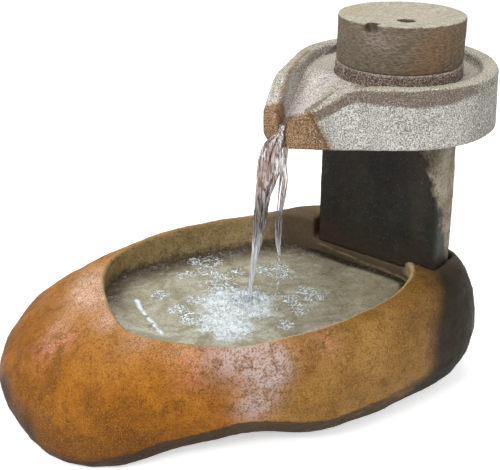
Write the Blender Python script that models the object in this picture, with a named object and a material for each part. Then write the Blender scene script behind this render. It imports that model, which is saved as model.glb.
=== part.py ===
"""A stone hand-mill fountain: a hollowed river boulder, a pillar slab on its rear rim, a round mill
tray with a beak, a bed stone and a runner stone, and the pump set that lifts the water to them.

Metres, +Z up. The builder works from the mill's axis at X 0, Y 0 with the ground at Z 0, and the
whole fountain is then stood with the middle of its base box at the origin.
"""

import math

import bmesh
import bpy
from mathutils import Matrix, Vector

# Running gaps
SEAT_GAP = 0.0003
SLIDE_GAP = 0.0005

# Runner stone
RUNNER_DIAMETER = 0.260
RUNNER_HEIGHT = 0.0935
RUNNER_TOP_LEAN = 0.0028
RUNNER_EDGE_ROUND = 0.003
CHAMBER_DIAMETER = 0.176
CHAMBER_DEPTH = 0.006
EYE_DIAMETER = 0.037
EYE_OFFSET = 0.067
EYE_TURN = math.radians(-91)
HANDLE_NOTCH_WIDTH = 0.024
HANDLE_NOTCH_DEPTH = 0.016
HANDLE_NOTCH_LENGTH = 0.020
HANDLE_NOTCH_TURN = math.radians(-126)

# Grinding faces
FURROW_SECTORS = 8
FURROWS_A_SECTOR = 3
FURROW_WIDTH = 0.006
FURROW_DEPTH = 0.0025
FURROW_PITCH = 0.016
FURROW_RIM = 0.004

# Centre pin and its bush
PIN_DIAMETER = 0.016
PIN_ABOVE_BED = 0.040
PIN_IN_BED = 0.030
BUSH_WALL = 0.004
BUSH_LENGTH = 0.038

# Bed stone
BED_RADIUS = RUNNER_DIAMETER / 2 + 0.002
BED_HEIGHT = 0.046
BED_EDGE_ROUND = 0.003
BED_IN_TRAY = 0.020

# Mill tray
TRAY_RADIUS = 0.213
TRAY_SHIFT_X = -0.008
TRAY_SHIFT_Y = 0.010
TRAY_HEIGHT = 0.124
TRAY_WALL = 0.032
TRAY_EDGE_ROUND = 0.007
TRAY_UNDER_ROUND = 0.004
TRAY_FLARE = 0.006
CHANNEL_DEPTH = 0.021
CHANNEL_SLOPE = 0.006
RIM_ROUND_WIDTH = 0.030
RIM_ROUND_TURN = math.radians(-124)
RIM_ROUND_SPREAD = math.radians(20)
RIM_ROUND_DROP = 0.010
LIP_OUTER_X = -0.2836
LIP_OUTER_Y = -0.172
LIP_INNER_X = -0.2585
LIP_INNER_Y = -0.187
LIP_CHAMFER_HEIGHT = 0.024
LIP_CHAMFER_WIDTH = 0.012
FACET_END_X = -0.2425
FACET_END_Y_LOW = -0.189
FACET_END_Y_HIGH = -0.179
CREASE_X_LOW = -0.180
CREASE_X_HIGH = -0.219
CREASE_Y = -0.1965
FLANK_BOW = 0.002
LIP_DROP = 0.054
FACET_DROP = 0.074
BEAK_FLOOR_DROP = 0.062
BEAK_FLOOR_SPREAD = math.radians(42)
LIP_SPREAD = math.radians(5)
FRONT_SINK_START = math.radians(-118)
FRONT_SINK_POWER = 1.35
FLANK_SINK_START = math.radians(-161)
MOUTH_WIDTH = 0.015
MOUTH_TOP_WIDTH = 0.030
MOUTH_TURN = math.radians(-108)
MOUTH_RUN = 0.060
MOUTH_SETBACK = 0.026
MOUTH_FLOOR_IN = 0.612
MOUTH_FLOOR_OUT = 0.571

# Pillar
PILLAR_WIDTH = 0.292
PILLAR_THICKNESS = 0.090
PILLAR_HEIGHT = 0.322
PILLAR_TURN = math.radians(-38)
PILLAR_SHIFT_X = -0.008
PILLAR_SHIFT_Y = 0.013
PILLAR_CORNER = 0.007
PILLAR_BACK_CORNER = 0.030
PILLAR_BULGE = 0.008
PILLAR_FLARE = 0.010

# Boulder and basin
BASIN_REACH_LEFT = 0.620
BASIN_REACH_FRONT = 0.402
BASIN_RIM_HEIGHT = 0.245
BELLY_REACH = 0.232
SEAT_HEIGHT = 0.236
SOCKET_GAP = 0.0006
NOTCH_GAP = 0.014
CUTTER_HEIGHT = 0.120
BASIN_FLOOR_HEIGHT = 0.075
BASIN_CORNER = 0.040
LUMP_START = 0.045

# Niche for the pump, under the pillar
NICHE_WIDTH = 0.094
NICHE_HEIGHT = 0.112
NICHE_DEPTH = 0.182
NICHE_SILL = 0.060

# Riser pipe
RISER_DIAMETER = 0.018
RISER_WALL = 0.0015
RISER_OFFSET = 0.042
RISER_TURN = math.radians(142)
RISER_TOP_DROP = 0.003
BORE_GAP = 0.0015
GROMMET_HEIGHT = 0.012
GROMMET_WALL = 0.006

# Locating dowels between pillar and tray
DOWEL_DIAMETER = 0.012
DOWEL_LENGTH = 0.050
DOWEL_SPACING = 0.190

# Pump
PUMP_LENGTH = 0.046
PUMP_WIDTH = 0.052
PUMP_HEIGHT = 0.046
PUMP_EDGE = 0.005
PUMP_FOOT_HEIGHT = 0.009
PUMP_FOOT_DIAMETER = 0.014
PUMP_FOOT_SPREAD = 0.031
PUMP_FOOT_INSET = 0.010
VOLUTE_DIAMETER = 0.046
VOLUTE_LENGTH = 0.018
VOLUTE_WALL = 0.003
SEAL_WIDTH = 0.0016
ROTOR_DIAMETER = 0.022
ROTOR_LENGTH = 0.026
ROTOR_GAP = 0.0012
SHAFT_DIAMETER = 0.003
RUBBER_BUSH_DIAMETER = 0.009
RUBBER_BUSH_LENGTH = 0.004
HUB_DIAMETER = 0.009
IMPELLER_DIAMETER = 0.034
IMPELLER_THICKNESS = 0.003
BLADE_COUNT = 5
BLADE_HEIGHT = 0.006
BLADE_THICKNESS = 0.0018
INTAKE_DIAMETER = 0.016
NOZZLE_DIAMETER = 0.013
NOZZLE_WALL = 0.002
NOZZLE_LENGTH = 0.020
HOSE_WALL = 0.002
HOSE_OVERLAP = 0.014
HOSE_GAP = 0.0003
CLAMP_WALL = 0.0012
CLAMP_WIDTH = 0.006
STRAINER_DEPTH = 0.016
STRAINER_WALL = 0.0025
STRAINER_SLOTS = 7
STRAINER_SLOT = 0.0028
FRONT_BUSH_DIAMETER = 0.0056
FRONT_BUSH_START = 0.0025
BOSS_WALL = 0.001
GLAND_DIAMETER = 0.011
GLAND_LENGTH = 0.010

ROUND_STEPS = 48
SMALL_STEPS = 20

# Heights that follow from the sizes above
TRAY_BOTTOM = SEAT_HEIGHT + PILLAR_HEIGHT + 2 * SEAT_GAP
RIM_HEIGHT = TRAY_BOTTOM + TRAY_HEIGHT
CHANNEL_HEIGHT = RIM_HEIGHT - CHANNEL_DEPTH
BED_BOTTOM = CHANNEL_HEIGHT - BED_IN_TRAY + SEAT_GAP
BED_TOP = BED_BOTTOM + BED_HEIGHT
RUNNER_BOTTOM = BED_TOP + SEAT_GAP
RUNNER_TOP = RUNNER_BOTTOM + RUNNER_HEIGHT
PUMP_AXIS_HEIGHT = BASIN_FLOOR_HEIGHT + SEAT_GAP + PUMP_FOOT_HEIGHT + PUMP_HEIGHT / 2
NOZZLE_TOP = PUMP_AXIS_HEIGHT + VOLUTE_DIAMETER / 2 + NOZZLE_LENGTH
RISER_BOTTOM = NOZZLE_TOP + 0.008
RISER_TOP = RUNNER_BOTTOM - RISER_TOP_DROP

PILLAR_ALONG = Vector((math.cos(PILLAR_TURN), math.sin(PILLAR_TURN), 0))
PILLAR_BACK = Vector((-math.sin(PILLAR_TURN), math.cos(PILLAR_TURN), 0))
PILLAR_CENTRE = Vector((PILLAR_SHIFT_X, PILLAR_SHIFT_Y, 0))
TRAY_CENTRE = Vector((TRAY_SHIFT_X, TRAY_SHIFT_Y, 0))
RISER_PLACE = Vector((math.cos(RISER_TURN), math.sin(RISER_TURN), 0)) * RISER_OFFSET

# Stations round the basin, left end first and then by way of the front. Each has the rim's inner edge X
# and Y as shares of the basin's reach to the left and to the front, the rim's height as a share of its
# height at the front, the width of its crest, how far the belly stands out as a share of its greatest
# reach, its height, the reach of the base, and how full the shoulder is, from 1 for a straight slope to
# 2 for a round one. The three stations at the pillar are worked out from its face.
LEFT_AND_FRONT = (
    (-1.000, -0.311, 1.045, 0.012, 0.957, 0.085, 0.130, 1.50),
    (-0.968, -0.585, 1.012, 0.012, 1.000, 0.075, 0.178, 1.60),
    (-0.887, -0.858, 1.000, 0.012, 0.767, 0.070, 0.148, 1.80),
    (-0.734, -0.965, 1.000, 0.012, 0.353, 0.094, 0.000, 2.00),
    (-0.519, -1.000, 1.000, 0.012, 0.147, 0.132, -0.080, 2.00),
    (-0.306, -0.866, 1.004, 0.012, 0.284, 0.110, -0.020, 2.00),
    (-0.137, -0.694, 1.008, 0.014, 0.328, 0.115, 0.010, 2.00),
    (-0.016, -0.517, 1.016, 0.030, 0.397, 0.125, 0.025, 2.00),
    (0.058, -0.323, 1.037, 0.080, 0.612, 0.125, 0.055, 1.90),
)
REAR_AND_BACK = (
    (-0.387, 0.249, 1.184, 0.016, 0.431, 0.120, 0.050, 1.50),
    (-0.605, 0.149, 1.184, 0.010, 0.431, 0.110, 0.050, 1.25),
    (-0.806, 0.005, 1.163, 0.010, 0.517, 0.100, 0.065, 1.15),
    (-0.948, -0.139, 1.102, 0.010, 0.754, 0.090, 0.090, 1.28),
)


def pillar_point(along, back, height=0.0):
    """A point given along the pillar's width, behind its centre plane, and above the ground."""
    return PILLAR_CENTRE + PILLAR_ALONG * along + PILLAR_BACK * back + Vector((0, 0, height))


def basin_stations():
    """All stations round the basin; those at the pillar lie on the line of its front face."""
    face = -PILLAR_THICKNESS / 2 - 0.001
    right = pillar_point(LUMP_START + 0.035, face)
    middle = pillar_point(-0.035, face)
    left = pillar_point(-PILLAR_WIDTH / 2 - 0.006, face + 0.002)
    pillar_stations = (
        (right.x, right.y, 0.260, 0.125, 0.165, 0.130, 0.080, 1.80),
        (middle.x, middle.y, 0.262, 0.135, 0.200, 0.135, 0.110, 1.80),
        (left.x, left.y, 0.286, 0.100, 0.150, 0.135, 0.080, 1.70),
    )
    rows = []
    for x, y, rim, crest, belly, *rest in LEFT_AND_FRONT + REAR_AND_BACK:
        place = (x * BASIN_REACH_LEFT, y * BASIN_REACH_FRONT, rim * BASIN_RIM_HEIGHT)
        rows.append((*place, crest, belly * BELLY_REACH, *rest))
    front = len(LEFT_AND_FRONT)
    return rows[:front] + list(pillar_stations) + rows[front:]


def smooth_step(value, start, end):
    """Rises smoothly from 0 at start to 1 at end."""
    share = max(0.0, min(1.0, (value - start) / (end - start)))
    return share * share * (3 - 2 * share)


def spline_round(stations, steps):
    """Values on a closed smooth curve through the stations, with so many steps between each two."""
    count = len(stations)
    found = []
    for index in range(count):
        p0, p1, p2, p3 = (stations[(index + shift) % count] for shift in (-1, 0, 1, 2))
        for step in range(steps):
            t = step / steps
            found.append(
                [
                    b
                    + 0.5 * t * (c - a)
                    + 0.5 * t**2 * (2 * a - 5 * b + 4 * c - d)
                    + 0.5 * t**3 * (3 * b - a - 3 * c + d)
                    for a, b, c, d in zip(p0, p1, p2, p3)
                ]
            )
    return found


def material(name, colour, roughness, metallic=0.0):
    made = bpy.data.materials.new(name)
    made.use_nodes = True
    shader = made.node_tree.nodes["Principled BSDF"]
    shader.inputs["Base Color"].default_value = (*colour, 1)
    shader.inputs["Roughness"].default_value = roughness
    shader.inputs["Metallic"].default_value = metallic
    made.diffuse_color = (*colour, 1)
    return made


def piece(name, bm, look, parent, location=(0, 0, 0), turn=0.0, smooth=True):
    """Makes a named object from a bmesh, at a place under its parent."""
    bmesh.ops.recalc_face_normals(bm, faces=bm.faces)
    mesh = bpy.data.meshes.new(name)
    bm.to_mesh(mesh)
    bm.free()
    mesh.materials.append(look)
    if smooth:
        mesh.shade_smooth()
        mesh.set_sharp_from_angle(angle=math.radians(35))
    made = bpy.data.objects.new(name, mesh)
    bpy.context.scene.collection.objects.link(made)
    made.parent = parent
    made.location = location
    made.rotation_euler = (0, 0, turn)
    return made


def guide(name, parent, location=(0, 0, 0), turn=0.0):
    made = bpy.data.objects.new(name, None)
    bpy.context.scene.collection.objects.link(made)
    made.parent = parent
    made.location = location
    made.rotation_euler = (0, 0, turn)
    return made


def cut(target, name, bm, parent, location=(0, 0, 0), turn=0.0):
    """Cuts a closed body out of the target; the cutter stays hidden."""
    cutter = piece(name, bm, target.data.materials[0], parent, location, turn, smooth=False)
    cutter.hide_render = True
    cutter.display_type = "WIRE"
    boolean = target.modifiers.new(name, "BOOLEAN")
    boolean.object = cutter
    boolean.operation = "DIFFERENCE"
    boolean.solver = "EXACT"
    return cutter


def ring_body(rings, hollow=False):
    """A closed body through rings of points. Its ends are closed to a middle point, or the last ring
    joins the first where the body is hollow."""
    bm = bmesh.new()
    rows = [[bm.verts.new(point) for point in ring] for ring in rings]
    count = len(rows[0])
    pairs = list(zip(rows, rows[1:])) + ([(rows[-1], rows[0])] if hollow else [])
    for low, high in pairs:
        for index in range(count):
            after = (index + 1) % count
            bm.faces.new((low[index], low[after], high[after], high[index]))
    if not hollow:
        bm.faces.new(rows[0])
        bm.faces.new(rows[-1])
    return bm


def circle(radius, height, steps, centre=(0, 0)):
    return [
        (
            centre[0] + radius * math.cos(2 * math.pi * step / steps),
            centre[1] + radius * math.sin(2 * math.pi * step / steps),
            height,
        )
        for step in range(steps)
    ]


def turned(profile, steps=ROUND_STEPS, centre=(0, 0)):
    """A turned solid body from radius and height pairs, bottom to top."""
    return ring_body([circle(radius, height, steps, centre) for radius, height in profile])


def tube(outer, inner, low, high, steps=SMALL_STEPS, centre=(0, 0)):
    corners = ((outer, low), (outer, high), (inner, high), (inner, low))
    return ring_body([circle(r, z, steps, centre) for r, z in corners], hollow=True)


def box(size, centre=(0, 0, 0)):
    bm = bmesh.new()
    bmesh.ops.create_cube(bm, size=1.0)
    bmesh.ops.scale(bm, vec=size, verts=bm.verts)
    bmesh.ops.translate(bm, vec=centre, verts=bm.verts)
    return bm


def bevelled_box(size, edge, centre=(0, 0, 0), segments=3):
    bm = box(size, centre)
    bmesh.ops.bevel(bm, geom=bm.edges[:], offset=edge, segments=segments, affect="EDGES")
    return bm


def prism(outline, low, high):
    """An upright prism over an outline of X and Y pairs."""
    return ring_body([[(x, y, low) for x, y in outline], [(x, y, high) for x, y in outline]])


def lying(bm, middle=(0, 0, 0)):
    """Lays a body that was made upright along -Y: its bottom is at the back and its top to the front."""
    bmesh.ops.rotate(bm, cent=(0, 0, 0), matrix=Matrix.Rotation(math.radians(90), 3, "X"), verts=bm.verts)
    bmesh.ops.translate(bm, vec=middle, verts=bm.verts)
    return bm


def joined(*parts):
    """Several separate bodies in one bmesh."""
    whole = bmesh.new()
    for part in parts:
        holder = bpy.data.meshes.new("holder")
        part.to_mesh(holder)
        part.free()
        whole.from_mesh(holder)
        bpy.data.meshes.remove(holder)
    return whole


LOOKS = {
    "boulder": material("boulder_stone", (0.36, 0.17, 0.06), 0.45),
    "pillar": material("pillar_stone", (0.10, 0.08, 0.06), 0.60),
    "tray": material("tray_granite", (0.42, 0.41, 0.36), 0.80),
    "bed": material("bed_granite", (0.24, 0.19, 0.15), 0.85),
    "runner": material("runner_granite", (0.28, 0.24, 0.18), 0.85),
    "iron": material("forged_iron", (0.10, 0.09, 0.08), 0.60, 0.9),
    "brass": material("brass", (0.60, 0.42, 0.16), 0.35, 1.0),
    "copper": material("riser_copper", (0.60, 0.30, 0.18), 0.35, 1.0),
    "steel": material("stainless_steel", (0.55, 0.55, 0.55), 0.30, 1.0),
    "plastic": material("pump_plastic", (0.02, 0.02, 0.02), 0.45),
    "grey_plastic": material("impeller_plastic", (0.35, 0.36, 0.38), 0.40),
    "rubber": material("rubber", (0.015, 0.015, 0.015), 0.70),
    "hose": material("clear_hose", (0.45, 0.48, 0.45), 0.25),
    "magnet": material("ferrite", (0.05, 0.05, 0.055), 0.50),
}


def boulder_rings():
    """The boulder's surface, from the flat base up its belly, over the rim and down into the basin."""
    samples = spline_round(basin_stations(), 5)
    count = len(samples)
    points = [Vector((s[0], s[1], 0)) for s in samples]
    outward = []
    for index in range(count):
        along = points[(index + 2) % count] - points[index - 2]
        outward.append(Vector((along.y, -along.x, 0)).normalized())
    for _ in range(3):
        outward = [
            (outward[index - 1] + 2 * outward[index] + outward[(index + 1) % count]).normalized()
            for index in range(count)
        ]

    def ring(reach, height):
        return [
            points[index] + outward[index] * reach(samples[index]) + Vector((0, 0, height(samples[index])))
            for index in range(count)
        ]

    rings = []
    for step in range(5):
        angle = math.pi / 2 * step / 4
        rise, swell = 1 - math.cos(angle), math.sin(angle)
        rings.append(ring(lambda s, k=swell: s[6] + (s[4] - s[6]) * k, lambda s, k=rise: s[5] * k))
    for step in range(1, 6):
        angle = math.pi / 2 * step / 5
        rise, swell = math.sin(angle), max(0.0, math.cos(angle))
        rings.append(
            ring(
                lambda s, k=swell: s[3] + (s[4] - s[3]) * k ** (2 / s[7]),
                lambda s, k=rise: s[5] + (s[2] - 0.002 - s[5]) * k ** (2 / s[7]),
            )
        )
    rings.append(ring(lambda s: 0.5 * s[3], lambda s: s[2]))
    rings.append(ring(lambda s: 0.003, lambda s: s[2] - 0.001))
    rings.append(ring(lambda s: 0.0, lambda s: s[2] - 0.005))
    rings.append(ring(lambda s: -0.001, lambda s: 0.62 * s[2]))
    for step in range(5):
        angle = math.pi / 2 * step / 4
        inset = 0.001 + BASIN_CORNER * (1 - math.cos(angle))
        height = BASIN_FLOOR_HEIGHT + BASIN_CORNER * (1 - math.sin(angle))
        rings.append(ring(lambda s, k=inset: -k, lambda s, k=height: k))
    return rings


def make_boulder(parent):
    boulder = piece("boulder_basin", ring_body(boulder_rings()), LOOKS["boulder"], parent)
    face = -PILLAR_THICKNESS / 2
    gap = SOCKET_GAP
    low = SEAT_HEIGHT
    high = SEAT_HEIGHT + CUTTER_HEIGHT
    left = -PILLAR_WIDTH / 2 - NOTCH_GAP
    right = PILLAR_WIDTH / 2 + PILLAR_FLARE + gap
    near, far = face - gap, -face + gap
    socket = prism(((left, near), (right, near), (right, far), (left, far)), low, high)
    cut(boulder, "pillar_socket_cutter", socket, parent, PILLAR_CENTRE, PILLAR_TURN)
    front = face - 0.060
    ledge = prism(((left, front), (LUMP_START, front), (LUMP_START, 0), (left, 0)), low, high)
    cut(boulder, "seat_front_cutter", ledge, parent, PILLAR_CENTRE, PILLAR_TURN)
    niche = box(
        (NICHE_WIDTH, NICHE_DEPTH, NICHE_HEIGHT),
        (0, face - NICHE_SILL + NICHE_DEPTH / 2, BASIN_FLOOR_HEIGHT + NICHE_HEIGHT / 2),
    )
    place = PILLAR_CENTRE + PILLAR_ALONG * (RISER_PLACE - PILLAR_CENTRE).dot(PILLAR_ALONG)
    cut(boulder, "pump_niche_cutter", niche, parent, place, PILLAR_TURN)
    bore = turned(
        ((RISER_DIAMETER / 2 + BORE_GAP, BASIN_FLOOR_HEIGHT + 0.06), (RISER_DIAMETER / 2 + BORE_GAP, high)),
        SMALL_STEPS,
    )
    cut(boulder, "boulder_riser_bore_cutter", bore, parent, RISER_PLACE)
    return boulder


def pillar_outline(right_shift, inset):
    """The slab's section: a flat front, tight front corners and a rounder back."""
    half_width = PILLAR_WIDTH / 2 - inset
    half_depth = PILLAR_THICKNESS / 2 - inset
    corners = (
        (-half_width, -half_depth, PILLAR_CORNER, 180),
        (half_width + right_shift, -half_depth, PILLAR_CORNER, 270),
        (half_width + right_shift, half_depth, PILLAR_BACK_CORNER, 0),
        (-half_width, half_depth, PILLAR_BACK_CORNER, 90),
    )
    outline = []
    for x, y, radius, start in corners:
        centre_x = x - math.copysign(radius, x)
        centre_y = y - math.copysign(radius, y)
        for step in range(5):
            angle = math.radians(start + 90 * step / 4)
            outline.append((centre_x + radius * math.cos(angle), centre_y + radius * math.sin(angle)))
    return outline


def make_pillar(parent):
    foot, waist = PILLAR_FLARE, PILLAR_BULGE
    levels = (
        (0.0, 0.0015, foot),
        (0.003, 0.0, foot),
        (0.09, 0.0, foot),
        (0.25, 0.0, 0.5 * (foot + waist)),
        (0.5, 0.0, waist),
        (0.8, 0.0, 0.4 * waist),
    )
    rings = []
    for share, inset, shift in levels:
        outline = pillar_outline(shift, inset)
        height = SEAT_HEIGHT + SEAT_GAP + share * PILLAR_HEIGHT
        rings.append([(x, y, height) for x, y in outline])
    top = SEAT_HEIGHT + SEAT_GAP + PILLAR_HEIGHT
    rings.append([(x, y, top - 0.003) for x, y in pillar_outline(0, 0)])
    rings.append([(x, y, top) for x, y in pillar_outline(0, 0.003)])
    pillar = piece("pillar", ring_body(rings), LOOKS["pillar"], parent, PILLAR_CENTRE, PILLAR_TURN)
    bore = turned(
        ((RISER_DIAMETER / 2 + BORE_GAP, SEAT_HEIGHT - 0.01), (RISER_DIAMETER / 2 + BORE_GAP, top + 0.01)),
        SMALL_STEPS,
    )
    cut(pillar, "pillar_riser_bore_cutter", bore, parent, RISER_PLACE)
    for side in (-1, 1):
        hole = turned(
            (
                (DOWEL_DIAMETER / 2 + SEAT_GAP, top - DOWEL_LENGTH / 2 - SEAT_GAP),
                (DOWEL_DIAMETER / 2 + SEAT_GAP, top + 0.01),
            ),
            SMALL_STEPS,
        )
        place = pillar_point(side * DOWEL_SPACING / 2, 0)
        cut(pillar, f"pillar_dowel_hole_cutter_{side + 2}", hole, parent, place)
    return pillar


def beak_corners(high):
    """Corners of the beak in plan, low on the wall or at its rim: the lip's two corners, the end of the
    facet on the far side of the mouth, and the crease where that facet meets the front wall."""
    lip_outer = Vector((LIP_OUTER_X, LIP_OUTER_Y, 0))
    lip_inner = Vector((LIP_INNER_X, LIP_INNER_Y, 0))
    facet_end = Vector((FACET_END_X, FACET_END_Y_HIGH if high else FACET_END_Y_LOW, 0))
    crease = Vector((CREASE_X_HIGH if high else CREASE_X_LOW, CREASE_Y, 0))
    return lip_outer, lip_inner, facet_end, crease


def arc(radius, start, end, steps):
    """Points round the tray's centre between two directions in degrees."""
    angles = [math.radians(start + (end - start) * step / steps) for step in range(steps + 1)]
    return [TRAY_CENTRE + Vector((math.cos(angle), math.sin(angle), 0)) * radius for angle in angles]


def tray_outline(high):
    """The tray's plan: a round arc, the straight flank, the lip, the mouth, the facet and the front."""
    outline = arc(TRAY_RADIUS, -93, 157, 64)
    lip_outer, lip_inner, facet_end, crease = beak_corners(high)
    flank_start = outline[-1]
    outline.append(flank_start.lerp(lip_outer, 0.5) + Vector((-FLANK_BOW, 0, 0)))
    outline += [lip_outer, lip_inner, facet_end, crease]
    return outline


def channel_outline():
    """The channel's outer edge in plan: the arc one wall inside the tray, drawn out into the beak."""
    outline = arc(TRAY_RADIUS - TRAY_WALL, -104, 158, 48)
    left_tip, right_tip = channel_tip()
    flank_start = outline[-1]
    outline.append(flank_start.lerp(left_tip, 0.45) + Vector((-FLANK_BOW, 0, 0)))
    outline += [left_tip, right_tip]
    return outline


def channel_tip():
    """The two corners of the channel's end, a little way in from the mouth."""
    inward = Vector((math.cos(MOUTH_TURN), math.sin(MOUTH_TURN), 0)) * -MOUTH_SETBACK
    middle = mouth_centre() + inward
    return middle - Vector((MOUTH_WIDTH * 0.7, 0, 0)), middle + Vector((MOUTH_WIDTH * 0.8, 0, 0))


def chute_side():
    """The place on the chute's left side where the channel ends."""
    left_tip, right_tip = channel_tip()
    return left_tip + Vector((MOUTH_WIDTH * 0.12, 0, 0))


def mouth_centre():
    """The middle of the gap between the lip and the facet."""
    lip_outer, lip_inner, facet_end, crease = beak_corners(False)
    return (lip_inner + facet_end) / 2


def reach_of(outline, angle):
    """How far an outline lies from the mill's axis in one direction."""
    ray = Vector((math.cos(angle), math.sin(angle), 0))
    best = 0.0
    for first, second in zip(outline, outline[1:] + outline[:1]):
        side = second - first
        area = ray.x * side.y - ray.y * side.x
        if abs(area) < 1e-12:
            continue
        distance = (first.x * side.y - first.y * side.x) / area
        share = (first.x * ray.y - first.y * ray.x) / area
        if distance > 0 and -1e-9 <= share <= 1 + 1e-9:
            best = max(best, distance)
    return best


def direction(point):
    """The direction of a point as seen from the mill's axis."""
    return math.atan2(point.y, point.x)


def tray_columns():
    """Directions round the tray, at the rim and low on the wall, closer together at the beak. Between
    the mouth and the front the two differ, because the crease runs aslant down the wall."""
    high = [direction(point) for point in beak_corners(True)]
    low = [direction(point) for point in beak_corners(False)]
    front_end = math.radians(-112)
    columns = [(angle, angle) for angle in (math.radians(step) for step in range(-108, 210, 6))]
    columns += [(angle, angle) for angle in (high[0] - math.radians(step) for step in (0, 2.5, 5))]
    columns.append((high[0] * 0.5 + high[1] * 0.5, high[0] * 0.5 + high[1] * 0.5))
    columns.append((high[1], low[1]))
    parting = direction(chute_side())
    columns += [(parting + turn, parting + turn) for turn in (-0.003, 0.003)]
    for first, second, steps in ((2, 3, 3), (3, None, 6)):
        end_high = front_end if second is None else high[second]
        end_low = front_end if second is None else low[second]
        for step in range(steps):
            share = step / steps
            columns.append(
                (high[first] + (end_high - high[first]) * share, low[first] + (end_low - low[first]) * share)
            )
    columns.append((front_end, front_end))
    turn = 2 * math.pi
    wrapped = [tuple((angle + math.pi) % turn - math.pi for angle in column) for column in columns]
    return sorted(set(wrapped))


def rim_drop(angle, parting):
    """How far the rim has sunk: most at the facet, less at the lip, and nothing away from the beak. The
    parting is the direction in which the lip's side ends and the facet's side begins."""
    lip_inner, facet_end = (direction(point) for point in beak_corners(True)[1:3])
    if angle > parting:
        share = (FRONT_SINK_START - angle) / (FRONT_SINK_START - facet_end)
        return FACET_DROP * max(0.0, min(1.0, share)) ** FRONT_SINK_POWER
    return LIP_DROP * (1 - smooth_step(lip_inner - angle, 0.0, lip_inner - FLANK_SINK_START))


def floor_drop(angle):
    """How far the channel's floor has sunk towards its end."""
    left_tip, right_tip = channel_tip()
    return BEAK_FLOOR_DROP * near_share(angle, direction((left_tip + right_tip) / 2), BEAK_FLOOR_SPREAD)


def near_share(angle, middle, width):
    """1 in one direction and 0 beyond a width to either side."""
    return 1 - smooth_step(abs(angle - middle), 0.0, width)


def tray_rings():
    """The tray's surface, from its underside up the wall, over the rim and down into the channel. The
    rim is broad and rounded on the front beside the beak, and the lip is worn away underneath."""
    outer_low, outer_high, inner = tray_outline(False), tray_outline(True), channel_outline()
    lip, lip_inner, facet_end = (direction(point) for point in beak_corners(True)[:3])
    edge = TRAY_EDGE_ROUND
    names = ("bottom", "low", "under_rim", "rim_out", "rim_in", "wall", "floor", "bed")
    rows = {name: [] for name in names}
    for angle, low_angle in tray_columns():
        ray = Vector((math.cos(angle), math.sin(angle), 0))
        low_ray = Vector((math.cos(low_angle), math.sin(low_angle), 0))

        def put(name, reach, height, along=ray):
            rows[name].append(along * reach + Vector((0, 0, height)))

        flare = TRAY_FLARE * (1 - smooth_step(abs(angle), math.radians(20), math.radians(85)))
        worn = near_share(angle, lip, LIP_SPREAD)
        out_low = reach_of(outer_low, low_angle) + flare
        put("bottom", out_low - TRAY_UNDER_ROUND - LIP_CHAMFER_WIDTH * worn, TRAY_BOTTOM, low_ray)
        put("low", out_low, TRAY_BOTTOM + TRAY_UNDER_ROUND + LIP_CHAMFER_HEIGHT * worn, low_ray)
        out = reach_of(outer_high, angle)
        rim = RIM_HEIGHT - rim_drop(angle, (lip_inner + facet_end) / 2)
        put("under_rim", out, rim - edge)
        put("rim_out", out - edge * 0.8, rim)
        broad = near_share(angle, RIM_ROUND_TURN, RIM_ROUND_SPREAD)
        width, slope = RIM_ROUND_WIDTH * broad, RIM_ROUND_DROP * broad
        inn = reach_of(inner, angle)
        inner_rim = RIM_HEIGHT - rim_drop(angle, direction(chute_side()))
        floor = CHANNEL_HEIGHT - floor_drop(angle)
        put("rim_in", inn + 0.004 - width * 0.4, inner_rim - 0.002 - slope * 0.5)
        put("wall", inn - width * 0.9, inner_rim - 0.006 - slope)
        put("floor", inn - CHANNEL_SLOPE - width * 1.3, min(floor, inner_rim - 0.009 - slope))
        put("bed", BED_RADIUS + SLIDE_GAP, CHANNEL_HEIGHT)
    return [rows[name] for name in names]


def mouth_body():
    """The mouth's cutter: a chute that falls outwards and widens upwards."""
    bm = bmesh.new()
    fall = (MOUTH_FLOOR_IN - MOUTH_FLOOR_OUT) / MOUTH_RUN
    high = RIM_HEIGHT + 0.01
    rows = []
    for reach in (-MOUTH_RUN, MOUTH_RUN / 2):
        floor = MOUTH_FLOOR_OUT - fall * reach
        corners = (
            (reach, -MOUTH_WIDTH / 2, floor),
            (reach, MOUTH_TOP_WIDTH - MOUTH_WIDTH / 2, high),
            (reach, -MOUTH_WIDTH / 2, high),
            (reach, MOUTH_WIDTH / 2, floor),
        )
        rows.append([bm.verts.new(corners[index]) for index in (0, 3, 1, 2)])
    for index in range(4):
        after = (index + 1) % 4
        bm.faces.new((rows[0][index], rows[0][after], rows[1][after], rows[1][index]))
    for row in rows:
        bm.faces.new(row)
    return bm


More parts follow.
